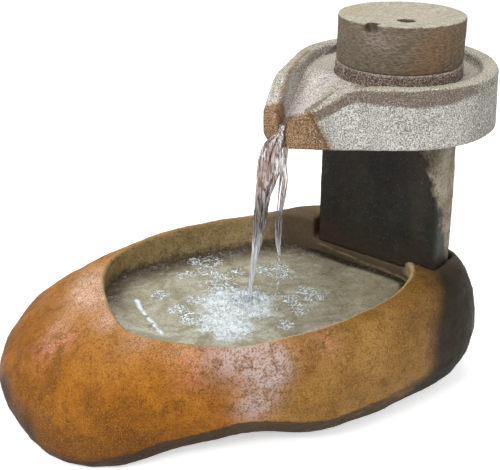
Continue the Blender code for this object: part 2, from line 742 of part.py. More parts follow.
def make_tray(parent):
    rings = tray_rings()
    rings.append([(x, y, BED_BOTTOM - SEAT_GAP) for x, y, _ in rings[-1]])
    tray = piece("mill_tray", ring_body(rings), LOOKS["tray"], parent)
    cut(tray, "mouth_cutter", mouth_body(), parent, mouth_centre(), MOUTH_TURN)
    bore = turned(
        (
            (RISER_DIAMETER / 2 + BORE_GAP, TRAY_BOTTOM + GROMMET_HEIGHT - 0.002),
            (RISER_DIAMETER / 2 + BORE_GAP, BED_BOTTOM + 0.01),
        ),
        SMALL_STEPS,
    )
    cut(tray, "tray_riser_bore_cutter", bore, parent, RISER_PLACE)
    grommet_seat = turned(
        (
            (RISER_DIAMETER / 2 + GROMMET_WALL + SEAT_GAP, TRAY_BOTTOM - 0.01),
            (RISER_DIAMETER / 2 + GROMMET_WALL + SEAT_GAP, TRAY_BOTTOM + GROMMET_HEIGHT + SEAT_GAP),
        ),
        SMALL_STEPS,
    )
    cut(tray, "grommet_seat_cutter", grommet_seat, parent, RISER_PLACE)
    for side in (-1, 1):
        hole = turned(
            (
                (DOWEL_DIAMETER / 2 + SEAT_GAP, TRAY_BOTTOM - 0.01),
                (DOWEL_DIAMETER / 2 + SEAT_GAP, TRAY_BOTTOM + DOWEL_LENGTH / 2 + SEAT_GAP),
            ),
            SMALL_STEPS,
        )
        place = pillar_point(side * DOWEL_SPACING / 2, 0)
        cut(tray, f"tray_dowel_hole_cutter_{side + 2}", hole, parent, place)
    return tray


def furrows(low, high, mirrored):
    """Straight furrows in sectors: a master furrow and shorter ones beside it, all parallel."""
    outer = RUNNER_DIAMETER / 2 - FURROW_RIM
    inner = CHAMBER_DIAMETER / 2 + FURROW_RIM
    side = -1 if mirrored else 1
    bars = []
    for sector in range(FURROW_SECTORS):
        turn = Matrix.Rotation(2 * math.pi * sector / FURROW_SECTORS, 4, "Z")
        for index in range(FURROWS_A_SECTOR):
            offset = index * FURROW_PITCH
            start = math.sqrt(inner**2 - offset**2) + 0.002 * index
            end = math.sqrt(outer**2 - offset**2)
            near, far = (offset - FURROW_WIDTH / 2) * side, (offset + FURROW_WIDTH / 2) * side
            bar = prism(((start, near), (end, near), (end, far), (start, far)), low, high)
            bmesh.ops.transform(bar, matrix=turn, verts=bar.verts)
            bars.append(bar)
    return joined(*bars)


def make_bed(parent):
    radius, edge = BED_RADIUS, BED_EDGE_ROUND
    profile = (
        (radius - 0.002, BED_BOTTOM),
        (radius, BED_BOTTOM + 0.002),
        (radius, BED_TOP - edge),
        (radius - edge * 0.3, BED_TOP - edge * 0.3),
        (radius - edge, BED_TOP),
    )
    bed = piece("bed_stone", turned(profile, 64), LOOKS["bed"], parent)
    pin_hole = turned(
        (
            (PIN_DIAMETER / 2 + SEAT_GAP, BED_TOP - PIN_IN_BED - SEAT_GAP),
            (PIN_DIAMETER / 2 + SEAT_GAP, BED_TOP + 0.01),
        ),
        SMALL_STEPS,
    )
    cut(bed, "bed_pin_hole_cutter", pin_hole, parent)
    bore = turned(
        (
            (RISER_DIAMETER / 2 + BORE_GAP, BED_BOTTOM - 0.01),
            (RISER_DIAMETER / 2 + BORE_GAP, BED_TOP + 0.01),
        ),
        SMALL_STEPS,
    )
    cut(bed, "bed_riser_bore_cutter", bore, parent, RISER_PLACE)
    cut(bed, "bed_furrow_cutter", furrows(BED_TOP - FURROW_DEPTH, BED_TOP + 0.01, False), parent)
    return bed


def make_runner(parent):
    """The runner's own heights count from its grinding face. Its top is hand-dressed and leans a little,
    so that the stone is thicker at the front."""
    radius, edge = RUNNER_DIAMETER / 2, RUNNER_EDGE_ROUND
    profile = (
        (radius - edge * 0.5, 0),
        (radius, edge * 0.5),
        (radius, RUNNER_HEIGHT - edge),
        (radius - edge * 0.3, RUNNER_HEIGHT - edge * 0.3),
        (radius - edge, RUNNER_HEIGHT),
    )
    body = turned(profile, 64)
    for vertex in body.verts:
        if vertex.co.z > RUNNER_HEIGHT / 2:
            vertex.co.z -= RUNNER_TOP_LEAN * vertex.co.y / radius
    runner = piece("runner_stone", body, LOOKS["runner"], parent)
    chamber = turned(((CHAMBER_DIAMETER / 2, -0.01), (CHAMBER_DIAMETER / 2, CHAMBER_DEPTH)))
    cut(runner, "mill_chamber_cutter", chamber, parent)
    bush_radius = PIN_DIAMETER / 2 + SLIDE_GAP + BUSH_WALL + SLIDE_GAP
    socket = turned(((bush_radius, 0), (bush_radius, PIN_ABOVE_BED + 0.004)), SMALL_STEPS)
    cut(runner, "bush_socket_cutter", socket, parent)
    eye_x, eye_y = EYE_OFFSET * math.cos(EYE_TURN), EYE_OFFSET * math.sin(EYE_TURN)
    eye = turned(((EYE_DIAMETER / 2, 0.001), (EYE_DIAMETER / 2, RUNNER_HEIGHT + 0.01)), 32, (eye_x, eye_y))
    cut(runner, "feed_eye_cutter", eye, parent)
    notch = box(
        (HANDLE_NOTCH_LENGTH * 2, HANDLE_NOTCH_WIDTH, HANDLE_NOTCH_DEPTH * 2),
        (radius, 0, RUNNER_HEIGHT),
    )
    cut(runner, "handle_notch_cutter", notch, parent, turn=HANDLE_NOTCH_TURN)
    cut(runner, "runner_furrow_cutter", furrows(-0.01, FURROW_DEPTH, True), parent)
    return runner


def make_mill(parent):
    make_tray(parent)
    make_bed(parent)
    pin_radius = PIN_DIAMETER / 2
    pin_profile = (
        (pin_radius, BED_TOP - PIN_IN_BED),
        (pin_radius, BED_TOP + PIN_ABOVE_BED - 0.003),
        (pin_radius * 0.7, BED_TOP + PIN_ABOVE_BED),
    )
    piece("mill_pin", turned(pin_profile, SMALL_STEPS), LOOKS["iron"], parent)
    lift = guide("runner_lift_axis", parent, (0, 0, RUNNER_BOTTOM))
    bush_inner = pin_radius + SLIDE_GAP
    bush = tube(bush_inner + BUSH_WALL, bush_inner, 0.001, 0.001 + BUSH_LENGTH, 24)
    piece("pin_bush", bush, LOOKS["brass"], lift)
    make_runner(lift)
    for name, side in (("locating_dowel_left", -1), ("locating_dowel_right", 1)):
        dowel = turned(
            (
                (DOWEL_DIAMETER / 2, TRAY_BOTTOM - DOWEL_LENGTH / 2),
                (DOWEL_DIAMETER / 2, TRAY_BOTTOM + DOWEL_LENGTH / 2),
            ),
            SMALL_STEPS,
        )
        piece(name, dowel, LOOKS["steel"], parent, pillar_point(side * DOWEL_SPACING / 2, 0))


def make_riser(parent):
    outer = RISER_DIAMETER / 2
    pipe = tube(outer, outer - RISER_WALL, RISER_BOTTOM, RISER_TOP)
    piece("riser_pipe", pipe, LOOKS["copper"], parent, RISER_PLACE)
    grommet = tube(outer + GROMMET_WALL, outer + SEAT_GAP, TRAY_BOTTOM, TRAY_BOTTOM + GROMMET_HEIGHT)
    piece("riser_grommet", grommet, LOOKS["rubber"], parent, RISER_PLACE)


def make_hose(parent):
    """The hose fits over the pump's nozzle and over the riser's lower end, which is the wider."""
    low = NOZZLE_TOP - HOSE_OVERLAP
    high = RISER_BOTTOM + HOSE_OVERLAP
    small = NOZZLE_DIAMETER / 2 + HOSE_GAP
    large = RISER_DIAMETER / 2 + HOSE_GAP
    profile = (
        (small + HOSE_WALL, low),
        (small + HOSE_WALL, NOZZLE_TOP + 0.001),
        (large + HOSE_WALL, RISER_BOTTOM - 0.001),
        (large + HOSE_WALL, high),
        (large, high),
        (large, RISER_BOTTOM - 0.001),
        (small, NOZZLE_TOP + 0.001),
        (small, low),
    )
    hose = ring_body([circle(r, z, SMALL_STEPS) for r, z in profile], hollow=True)
    piece("pump_hose", hose, LOOKS["hose"], parent, RISER_PLACE)
    lower = clamp_band(small + HOSE_WALL + HOSE_GAP, low + 0.003)
    piece("hose_clamp_lower", lower, LOOKS["steel"], parent, RISER_PLACE)
    upper = clamp_band(large + HOSE_WALL + HOSE_GAP, high - 0.003 - CLAMP_WIDTH)
    piece("hose_clamp_upper", upper, LOOKS["steel"], parent, RISER_PLACE)


def clamp_band(radius, low):
    return tube(radius + CLAMP_WALL, radius, low, low + CLAMP_WIDTH)


def make_pump(parent):
    """The pump's frame has -Y towards the basin and its axis of rotation along Y, at Z 0."""
    frame = guide("pump_frame", parent, RISER_PLACE + Vector((0, 0, PUMP_AXIS_HEIGHT)), PILLAR_TURN)
    volute_radius = VOLUTE_DIAMETER / 2
    volute_back = VOLUTE_LENGTH / 2
    motor_front = volute_back + SEAT_GAP
    make_motor_housing(frame, motor_front)
    make_volute(frame, volute_radius, volute_back)
    make_rotor(frame, volute_back, motor_front)
    make_strainer(frame, volute_radius, volute_back)
    make_pump_feet(frame, motor_front)
    return frame


def make_motor_housing(frame, motor_front):
    well_radius = ROTOR_DIAMETER / 2 + ROTOR_GAP
    well_depth = ROTOR_LENGTH + RUBBER_BUSH_LENGTH + 0.002
    housing = bevelled_box(
        (PUMP_WIDTH, PUMP_LENGTH, PUMP_HEIGHT), PUMP_EDGE, (0, motor_front + PUMP_LENGTH / 2, 0)
    )
    motor = piece("pump_motor_housing", housing, LOOKS["plastic"], frame)
    well = turned(((well_radius, 0), (well_radius, well_depth + 0.01)), 32)
    cut(motor, "rotor_well_cutter", lying(well, (0, motor_front + well_depth, 0)), frame)
    bush_radius = RUBBER_BUSH_DIAMETER / 2 + SEAT_GAP
    bush_hole = turned(((bush_radius, 0), (bush_radius, 0.01)), SMALL_STEPS)
    bush_end = motor_front + well_depth + RUBBER_BUSH_LENGTH
    cut(motor, "rear_bush_seat_cutter", lying(bush_hole, (0, bush_end, 0)), frame)
    gland_profile = (
        (GLAND_DIAMETER / 2, 0),
        (GLAND_DIAMETER / 2, GLAND_LENGTH * 0.5),
        (GLAND_DIAMETER * 0.36, GLAND_LENGTH),
    )
    gland = lying(turned(gland_profile, SMALL_STEPS))
    place = Matrix.Translation((0, motor_front + PUMP_LENGTH + SEAT_GAP, PUMP_HEIGHT * 0.15))
    bmesh.ops.transform(gland, matrix=place @ Matrix.Rotation(math.pi, 4, "Z"), verts=gland.verts)
    piece("cable_gland", gland, LOOKS["rubber"], frame)


def make_volute(frame, radius, back):
    """A drum with a closed front but for the intake, open at its back, and its outlet on top."""
    wall = VOLUTE_WALL
    profile = (
        (radius, -back),
        (radius, back),
        (radius - wall, back),
        (radius - wall, -back + wall),
        (INTAKE_DIAMETER / 2, -back + wall),
        (INTAKE_DIAMETER / 2, -back),
    )
    drum = ring_body([circle(r, -z, 40) for r, z in profile], hollow=True)
    volute = piece("pump_volute", lying(drum), LOOKS["plastic"], frame)
    nozzle_low = radius - wall * 0.5
    outer, inner = NOZZLE_DIAMETER / 2, NOZZLE_DIAMETER / 2 - NOZZLE_WALL
    outlet = turned(((inner, 0), (inner, radius + 0.01)), SMALL_STEPS)
    cut(volute, "outlet_port_cutter", outlet, frame)
    seat_profile = ((outer + SEAT_GAP, nozzle_low - SEAT_GAP), (outer + SEAT_GAP, radius + 0.01))
    cut(volute, "nozzle_seat_cutter", turned(seat_profile, SMALL_STEPS), frame)
    top = radius + NOZZLE_LENGTH
    nozzle = tube(outer, inner, nozzle_low, top)
    piece("outlet_nozzle", nozzle, LOOKS["plastic"], frame)
    seal_outer = radius - wall - SEAT_GAP
    seal = lying(tube(seal_outer, seal_outer - SEAL_WIDTH, 0, SEAL_WIDTH, 40), (0, back, 0))
    piece("volute_seal", seal, LOOKS["rubber"], frame)


def make_rotor(frame, volute_back, motor_front):
    """Shaft, its two rubber bushes, and the magnet and impeller that turn on it."""
    shaft_radius = SHAFT_DIAMETER / 2
    well_depth = ROTOR_LENGTH + RUBBER_BUSH_LENGTH + 0.002
    rear = motor_front + well_depth + RUBBER_BUSH_LENGTH - SEAT_GAP
    front = -volute_back - SEAT_GAP - FRONT_BUSH_START - RUBBER_BUSH_LENGTH + SEAT_GAP
    length = rear - front - 2 * SEAT_GAP
    shaft = lying(turned(((shaft_radius, 0), (shaft_radius, length)), 12), (0, rear - SEAT_GAP, 0))
    piece("pump_shaft", shaft, LOOKS["steel"], frame)
    bush_outer = RUBBER_BUSH_DIAMETER / 2
    bush = tube(bush_outer, shaft_radius + SEAT_GAP, 0, RUBBER_BUSH_LENGTH)
    piece("rear_shaft_bush", lying(bush, (0, rear - SEAT_GAP, 0)), LOOKS["rubber"], frame)
    spin = guide("impeller_axis", frame)
    plate_back = motor_front - ROTOR_GAP
    magnet_front = plate_back + SEAT_GAP
    magnet = tube(ROTOR_DIAMETER / 2, shaft_radius + ROTOR_GAP * 0.4, 0, ROTOR_LENGTH, 24)
    piece("rotor_magnet", lying(magnet, (0, magnet_front + ROTOR_LENGTH, 0)), LOOKS["magnet"], spin)
    radius = IMPELLER_DIAMETER / 2
    hub = HUB_DIAMETER / 2
    bore = shaft_radius + ROTOR_GAP * 0.4
    profile = (
        (radius, 0),
        (radius, IMPELLER_THICKNESS),
        (hub, IMPELLER_THICKNESS),
        (hub, IMPELLER_THICKNESS + BLADE_HEIGHT * 0.6),
        (bore, IMPELLER_THICKNESS + BLADE_HEIGHT * 0.6),
        (bore, 0),
    )
    disc = lying(ring_body([circle(r, z, 30) for r, z in profile], hollow=True), (0, plate_back, 0))
    impeller = piece("pump_impeller", disc, LOOKS["grey_plastic"], spin)
    blades = []
    for index in range(BLADE_COUNT):
        blade = box(
            (radius - hub - 0.001, BLADE_HEIGHT + 0.001, BLADE_THICKNESS),
            ((radius + hub) / 2, plate_back - IMPELLER_THICKNESS - BLADE_HEIGHT / 2 + 0.0005, 0),
        )
        turn = Matrix.Rotation(2 * math.pi * index / BLADE_COUNT + 0.1, 4, "Y")
        bmesh.ops.transform(blade, matrix=turn, verts=blade.verts)
        blades.append(blade)
    vanes = piece("impeller_blade_union", joined(*blades), LOOKS["grey_plastic"], frame, smooth=False)
    vanes.hide_render = True
    vanes.display_type = "WIRE"
    union = impeller.modifiers.new("blades", "BOOLEAN")
    union.object = vanes
    union.operation = "UNION"
    union.solver = "EXACT"


def make_strainer(frame, radius, back):
    """A slotted cap that holds the front shaft bush and slides off to the front."""
    inner = radius - STRAINER_WALL
    front = STRAINER_DEPTH
    start = -back - SEAT_GAP
    bush_outer = FRONT_BUSH_DIAMETER / 2
    bore = bush_outer + SEAT_GAP
    bush_end = FRONT_BUSH_START + RUBBER_BUSH_LENGTH
    profile = (
        (bore, bush_end + SEAT_GAP),
        (bore, FRONT_BUSH_START - 0.0005),
        (bore + BOSS_WALL, FRONT_BUSH_START - 0.0005),
        (bore + BOSS_WALL, front - STRAINER_WALL),
        (inner, front - STRAINER_WALL),
        (inner, 0),
        (radius, 0),
        (radius, front - 0.002),
        (radius - 0.002, front),
    )
    strainer = piece("strainer_cap", lying(turned(profile, 36), (0, start, 0)), LOOKS["plastic"], frame)
    bush = tube(bush_outer, SHAFT_DIAMETER / 2 + SEAT_GAP, FRONT_BUSH_START, bush_end)
    piece("front_shaft_bush", lying(bush, (0, start, 0)), LOOKS["rubber"], frame)
    bars = []
    for index in range(STRAINER_SLOTS):
        offset = (index - (STRAINER_SLOTS - 1) / 2) * 2 * STRAINER_SLOT
        if abs(offset) < STRAINER_SLOT:
            continue
        height = 2 * math.sqrt((inner - 0.002) ** 2 - offset**2) - 0.002
        bars.append(box((STRAINER_SLOT, 2 * STRAINER_WALL + 0.002, height), (offset, start - front, 0)))
    cut(strainer, "strainer_slot_cutter", joined(*bars), frame)
    return strainer


def make_pump_feet(frame, motor_front):
    radius = PUMP_FOOT_DIAMETER / 2
    bottom = -PUMP_HEIGHT / 2 - PUMP_FOOT_HEIGHT
    top = -PUMP_HEIGHT / 2 - SEAT_GAP
    profile = ((radius, bottom), (radius * 0.8, bottom + 0.003), (radius * 0.5, top))
    side = PUMP_FOOT_SPREAD / 2
    ends = (motor_front + PUMP_FOOT_INSET, motor_front + PUMP_LENGTH - PUMP_FOOT_INSET)
    places = [(x, y, 0) for x in (-side, side) for y in ends]
    for index, place in enumerate(places):
        piece(f"suction_foot_{index + 1}", turned(profile, SMALL_STEPS), LOOKS["rubber"], frame, place)


def stand_at_origin(fountain):
    """Moves the fountain so that the middle of its box in plan is at the origin."""
    bpy.context.view_layer.update()
    bodies = [made for made in bpy.data.objects if made.type == "MESH" and not made.hide_render]
    corners = [made.matrix_world @ vertex.co for made in bodies for vertex in made.data.vertices]
    middle_x = (min(c.x for c in corners) + max(c.x for c in corners)) / 2
    middle_y = (min(c.y for c in corners) + max(c.y for c in corners)) / 2
    fountain.location = (-middle_x, -middle_y, 0)


def clear_scene():
    for old in list(bpy.data.objects):
        bpy.data.objects.remove(old)


def main():
    clear_scene()
    fountain = guide("fountain", None)
    make_boulder(fountain)
    make_pillar(fountain)
    make_mill(fountain)
    make_riser(fountain)
    make_hose(fountain)
    make_pump(fountain)
    stand_at_origin(fountain)


main()
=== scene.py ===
"""The looks of a stone mill fountain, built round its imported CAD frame."""

import math
import random

import bmesh
import bpy
from mathutils import Matrix, Vector, geometry, kdtree, noise


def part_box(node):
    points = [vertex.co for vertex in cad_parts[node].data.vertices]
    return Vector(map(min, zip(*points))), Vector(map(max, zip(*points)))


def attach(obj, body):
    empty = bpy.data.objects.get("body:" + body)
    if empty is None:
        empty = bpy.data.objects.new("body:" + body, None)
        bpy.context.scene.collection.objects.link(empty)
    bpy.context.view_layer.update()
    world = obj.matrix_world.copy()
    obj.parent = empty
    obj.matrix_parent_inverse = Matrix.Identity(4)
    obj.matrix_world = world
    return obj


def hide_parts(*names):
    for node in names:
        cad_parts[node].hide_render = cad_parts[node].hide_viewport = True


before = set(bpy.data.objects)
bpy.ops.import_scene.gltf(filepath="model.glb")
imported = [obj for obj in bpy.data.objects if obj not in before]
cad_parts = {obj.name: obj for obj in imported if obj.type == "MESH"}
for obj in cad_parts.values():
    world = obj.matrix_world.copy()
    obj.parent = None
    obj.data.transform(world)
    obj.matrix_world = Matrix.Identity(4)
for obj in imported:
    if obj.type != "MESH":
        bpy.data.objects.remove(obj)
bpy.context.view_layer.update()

# Heights and places taken from the frame
RUNNER_LOW, RUNNER_HIGH = (Vector(corner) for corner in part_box("runner_stone"))
TRAY_LOW, TRAY_HIGH = (Vector(corner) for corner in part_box("mill_tray"))
PILLAR_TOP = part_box("pillar")[1][2]
BED_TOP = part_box("bed_stone")[1][2]
MILL = Vector(((RUNNER_LOW.x + RUNNER_HIGH.x) / 2, (RUNNER_LOW.y + RUNNER_HIGH.y) / 2, 0))

# The water's level, where the streams leave the tray and land, and how the stones are turned
WATER_LEVEL = 0.210
BEAK_TIP = MILL + Vector((-0.253, -0.189, 0))
IMPACT = MILL + Vector((-0.311, -0.178, WATER_LEVEL))
SECOND_IMPACT = MILL + Vector((-0.2546, -0.2214, WATER_LEVEL))
TRAY_MIDDLE = MILL + Vector((-0.008, 0.010, 0))
PILLAR_CENTRE = MILL + Vector((-0.008, 0.013, 0))
PILLAR_TURN = math.radians(-38)
NOTCH_TURN = math.radians(-126)
NOTCH_REACH = 0.124
ALONG = Vector((math.cos(PILLAR_TURN), math.sin(PILLAR_TURN), 0))
BACK = Vector((-math.sin(PILLAR_TURN), math.cos(PILLAR_TURN), 0))

WATER_IOR = 1.333
VOXELS = {"boulder": 0.0045, "pillar_slab": 0.0040, "tray": 0.0021, "bed": 0.0025, "runner": 0.0021}

# The camera's angles in radians, and its focal length in pixels of the picture
CAMERA_PLACE = MILL + Vector((-0.3087, -1.9499, 1.2226))
CAMERA_PITCH = 0.44983
CAMERA_ROLL = 0.0018
CAMERA_FOCAL = 959.0
PICTURE_WIDTH = 500


def linear(red, green, blue):
    """A colour given in screen values from 0 to 255, as the shader wants it."""
    found = []
    for value in (red, green, blue):
        share = value / 255
        found.append(share / 12.92 if share <= 0.04045 else ((share + 0.055) / 1.055) ** 2.4)
    return (*found, 1.0)


class Nodes:
    """A node tree whose nodes are added one call at a time."""

    def __init__(self, owner):
        owner.use_nodes = True
        self.tree = owner.node_tree

    def node(self, kind, inputs=None, **settings):
        made = self.tree.nodes.new(kind)
        for key, value in settings.items():
            setattr(made, key, value)
        for key, value in (inputs or {}).items():
            self.feed(made.inputs[key], value)
        return made

    def feed(self, socket, value):
        if isinstance(value, bpy.types.NodeSocket):
            self.tree.links.new(value, socket)
        else:
            socket.default_value = value


class Look(Nodes):
    """A material, with short names for the nodes that its colours need."""

    def __init__(self, name):
        self.material = bpy.data.materials.new(name)
        super().__init__(self.material)
        self.shader = self.tree.nodes["Principled BSDF"]
        self.place = self.node("ShaderNodeTexCoord").outputs["Object"]
        self.x, self.y, self.z = self.node("ShaderNodeSeparateXYZ", {0: self.place}).outputs

    def set(self, **values):
        for key, value in values.items():
            self.feed(self.shader.inputs[key.replace("_", " ")], value)

    def stretched(self, x, y, z):
        return self.node("ShaderNodeMapping", {"Vector": self.place, "Scale": (x, y, z)}).outputs[0]

    def noise(self, scale, detail, rough, distortion=0.0, vector=None):
        inputs = {"Vector": vector or self.place, "Scale": scale, "Detail": detail}
        inputs |= {"Roughness": rough, "Distortion": distortion}
        return self.node("ShaderNodeTexNoise", inputs).outputs["Fac"]

    def cells(self, scale):
        """The distance from the middle of each cell."""
        return self.node("ShaderNodeTexVoronoi", {"Vector": self.place, "Scale": scale}).outputs["Distance"]

    def shades(self, scale):
        """A random value for each cell."""
        made = self.node("ShaderNodeTexVoronoi", {"Vector": self.place, "Scale": scale})
        return self.node("ShaderNodeSeparateColor", {0: made.outputs["Color"]}).outputs[0]

    def ramp(self, factor, *stops):
        made = self.node("ShaderNodeValToRGB", {"Fac": factor})
        elements = made.color_ramp.elements
        while len(elements) < len(stops):
            elements.new(0.5)
        for element, (position, colour) in zip(elements, stops):
            element.position = position
            element.color = linear(*colour)
        return made.outputs["Color"]

    def math(self, operation, *values):
        return self.node("ShaderNodeMath", dict(enumerate(values)), operation=operation).outputs[0]

    def plus(self, first, second):
        return self.math("ADD", first, second)

    def times(self, first, second):
        return self.math("MULTIPLY", first, second)

    def larger(self, first, second):
        return self.math("MAXIMUM", first, second)

    def scaled(self, value, factor, shift):
        return self.math("MULTIPLY_ADD", value, factor, shift)

    def ridge(self, value):
        """Small along the thin winding lines where a noise has its middle value."""
        return self.math("ABSOLUTE", self.math("SUBTRACT", value, 0.5))

    def rise(self, value, low, high, start=0.0, end=1.0):
        """Goes smoothly from start to end as the value goes from low to high."""
        inputs = {"Value": value, "From Min": low, "From Max": high, "To Min": start, "To Max": end}
        return self.node("ShaderNodeMapRange", inputs, interpolation_type="SMOOTHSTEP").outputs[0]

    def mix(self, factor, first, second):
        """A colour between two; each is another node's output or given in screen values."""
        inputs = {0: factor}
        for key, colour in ((6, first), (7, second)):
            inputs[key] = linear(*colour) if isinstance(colour, tuple) else colour
        return self.node("ShaderNodeMix", inputs, data_type="RGBA").outputs[2]

    def tint(self, colour, other, share, strength):
        """Moves a colour towards another one, by a share and at most by the strength."""
        return self.mix(self.times(share, strength), colour, other)

    def veil(self, colour, other, value, low, high, strength):
        """Moves a colour towards another one as a value goes from low to high."""
        return self.mix(self.rise(value, low, high, 0.0, strength), colour, other)

    def painted(self, name):
        """The number that was painted on the mesh under a name."""
        return self.node("ShaderNodeAttribute", attribute_name=name).outputs["Fac"]

    def zone(self, name, value, low, high, start=0.0, end=1.0):
        """A painted zone that a value breaks up."""
        return self.times(self.painted(name), self.rise(value, low, high, start, end))

    def bump(self, height, distance, strength):
        inputs = {"Height": height, "Distance": distance, "Strength": strength}
        return self.node("ShaderNodeBump", inputs).outputs["Normal"]

    def against(self, vector, operation):
        """A number from the place and a vector, such as their distance."""
        inputs = {0: self.place, 1: vector}
        return self.node("ShaderNodeVectorMath", inputs, operation=operation).outputs["Value"]

    def done(self, colour, roughness, height, distance, strength=0.8, **others):
        """The material with its colour, its gloss and its fine relief."""
        normal = self.bump(height, distance, strength)
        self.set(Base_Color=colour, Roughness=roughness, Normal=normal, **others)
        return self.material


# Stones


def boulder_look():
    look = Look("boulder_stone_look")
    broad = look.noise(4.0, 3, 0.5)
    patches = look.noise(13.0, 5, 0.6, 0.3)
    mottle = look.noise(42.0, 5, 0.7, 0.4)
    grain = look.noise(240.0, 3, 0.7)
    fine = look.noise(430.0, 2, 0.6)
    curl = look.ridge(look.noise(120.0, 3, 0.6, 1.4))
    ochre = look.ramp(patches, (0.34, (132, 78, 12)), (0.5, (158, 95, 16)), (0.66, (178, 113, 28)))
    golden = look.ramp(patches, (0.34, (128, 90, 38)), (0.5, (148, 107, 48)), (0.66, (164, 124, 64)))
    to_right = look.rise(look.scaled(broad, 0.2, look.x), 0.0, 0.3)
    colour = look.mix(to_right, ochre, golden)
    pale = look.times(look.rise(look.z, 0.17, 0.25), look.rise(look.x, -0.1, -0.28))
    colour = look.tint(colour, (196, 138, 72), pale, 0.55)
    low = look.rise(look.plus(look.z, look.scaled(mottle, 0.16, -0.08)), 0.175, 0.06)
    low_left = look.times(low, look.rise(look.x, -0.05, -0.22))
    colour = look.tint(colour, (98, 58, 14), low_left, 0.75)
    colour = look.tint(colour, (196, 92, 58), look.zone("red", mottle, 0.4, 0.6), 0.65)
    cloudy = look.scaled(grain, 0.6, look.times(mottle, 0.4))
    sheen = look.zone("sheen", cloudy, 0.4, 0.56, 0.35, 1.0)
    colour = look.tint(colour, (200, 184, 184), sheen, 0.84)
    colour = look.veil(colour, (96, 56, 16), mottle, 0.5, 0.36, 0.45)
    colour = look.veil(colour, (80, 48, 12), grain, 0.5, 0.37, 0.58)
    sparkle = look.mix(look.rise(look.x, -0.1, 0.15), (216, 150, 54), (206, 164, 102))
    colour = look.veil(colour, sparkle, fine, 0.53, 0.66, 0.4)
    curls = look.times(look.rise(curl, 0.04, 0.01), look.rise(mottle, 0.42, 0.54, 0.25, 1.0))
    bright = look.larger(look.painted("glint"), look.times(look.painted("red"), 0.6))
    glint = look.zone("glint", fine, 0.47, 0.57, 0.0, 0.65)
    glint = look.larger(glint, look.times(curls, bright))
    colour = look.tint(colour, (244, 220, 204), glint, 0.9)
    # The right end: painted shade over the stone's dark green
    end = look.rise(look.scaled(mottle, 0.05, look.painted("end")), 0.15, 0.95)
    colour = look.tint(colour, (22, 24, 17), end, 0.94)
    # Painted shade on the underside
    under = look.rise(look.scaled(mottle, 0.6, look.painted("under")), 0.45, 1.15)
    colour = look.tint(colour, (50, 44, 34), under, 0.88)
    wall = look.ramp(mottle, (0.36, (92, 77, 54)), (0.5, (126, 110, 82)), (0.66, (162, 143, 110)))
    wall = look.veil(wall, (40, 30, 18), grain, 0.49, 0.37, 0.65)
    # Painted shade on the basin's inner wall at its left and right ends
    shaded_wall_ends = look.larger(look.rise(look.x, -0.16, -0.24, 0.0, 0.2), look.rise(look.x, 0.04, 0.12))
    wall = look.tint(wall, (56, 46, 32), shaded_wall_ends, 0.5)
    wall = look.veil(wall, (70, 60, 44), look.z, WATER_LEVEL + 0.012, WATER_LEVEL + 0.001, 0.6)
    wall = look.veil(wall, (168, 150, 116), grain, 0.54, 0.68, 0.5)
    colour = look.mix(look.painted("basin"), colour, wall)
    # Painted shade round the pillar's foot
    colour = look.tint(colour, (86, 73, 57), look.painted("seat"), 0.86)
    colour = look.mix(look.zone("tide", mottle, 0.4, 0.54, 0.2, 0.75), colour, (158, 140, 114))
    rim = look.zone("rim", grain, 0.3, 0.52, 0.4, 1.0)
    rim = look.times(rim, look.rise(look.math("SUBTRACT", look.x, look.y), -0.05, 0.16, 0.45, 0.85))
    pale_rim = look.mix(look.rise(look.x, -0.1, 0.1), (170, 142, 84), (216, 192, 142))
    colour = look.mix(rim, colour, pale_rim)
    pits = look.zone("pitted", look.cells(150.0), 0.24, 0.1)
    few = look.times(pits, look.rise(look.shades(150.0), 0.55, 0.62))
    colour = look.tint(colour, (46, 28, 10), few, 0.85)
    wet = look.rise(look.noise(9.0, 4, 0.6, 0.6), 0.42, 0.62)
    rough = look.scaled(wet, -0.12, 0.5)
    rough = look.scaled(look.painted("glint"), -0.14, rough)
    rough = look.scaled(grain, 0.1, rough)
    height = look.scaled(grain, 0.7, look.times(few, -1.2))
    height = look.plus(height, look.scaled(fine, 0.35, mottle))
    return look.done(colour, rough, height, 0.0024, Specular_IOR_Level=0.16)


def pillar_look():
    look = Look("pillar_stone_look")
    grain = look.noise(220.0, 3, 0.7)
    mottle = look.noise(24.0, 5, 0.65, 0.4)
    streaks = look.noise(14.0, 4, 0.6, 0.3, look.stretched(1, 1, 0.18))
    # The front face: wet stone in painted shade; the right flank: dry stone in painted light
    wet = look.ramp(streaks, (0.34, (22, 21, 18)), (0.52, (34, 31, 25)), (0.7, (52, 42, 33)))
    wet = look.veil(wet, (66, 42, 32), mottle, 0.5, 0.7, 0.7)
    wet = look.veil(wet, (36, 42, 34), look.noise(9.0, 3, 0.6), 0.46, 0.62, 0.5)
    dry_lit = look.ramp(mottle, (0.34, (112, 102, 86)), (0.52, (148, 138, 120)), (0.7, (172, 163, 146)))
    dry_lit = look.veil(dry_lit, (76, 66, 54), grain, 0.5, 0.36, 0.7)
    corner = ALONG + BACK
    slope = 0.38
    unrolled = look.plus(look.against(corner, "DOT_PRODUCT"), -PILLAR_CENTRE.dot(corner) - 0.101)
    line = look.plus(look.scaled(look.z, slope, unrolled), 0.051 - slope * PILLAR_TOP)
    line = look.plus(line, look.scaled(mottle, 0.07, -0.035))
    dry_lit_side = look.rise(line, -0.006, 0.012)
    colour = look.mix(dry_lit_side, wet, dry_lit)
    colour = look.veil(colour, (122, 106, 88), grain, 0.56, 0.72, 0.32)
    # Painted shade at the pillar's foot
    foot = look.rise(look.scaled(mottle, 0.07, look.z), 0.36, 0.27)
    colour = look.tint(colour, (58, 44, 32), foot, 0.6)
    # Painted shadow of the tray along the pillar's top
    colour = look.veil(colour, (26, 24, 20), look.z, PILLAR_TOP - 0.05, PILLAR_TOP - 0.005, 0.45)
    rough = look.scaled(dry_lit_side, 0.34, 0.42)
    rough = look.scaled(grain, 0.1, rough)
    height = look.scaled(grain, 0.6, mottle)
    return look.done(colour, rough, height, 0.0018, Specular_IOR_Level=0.36)


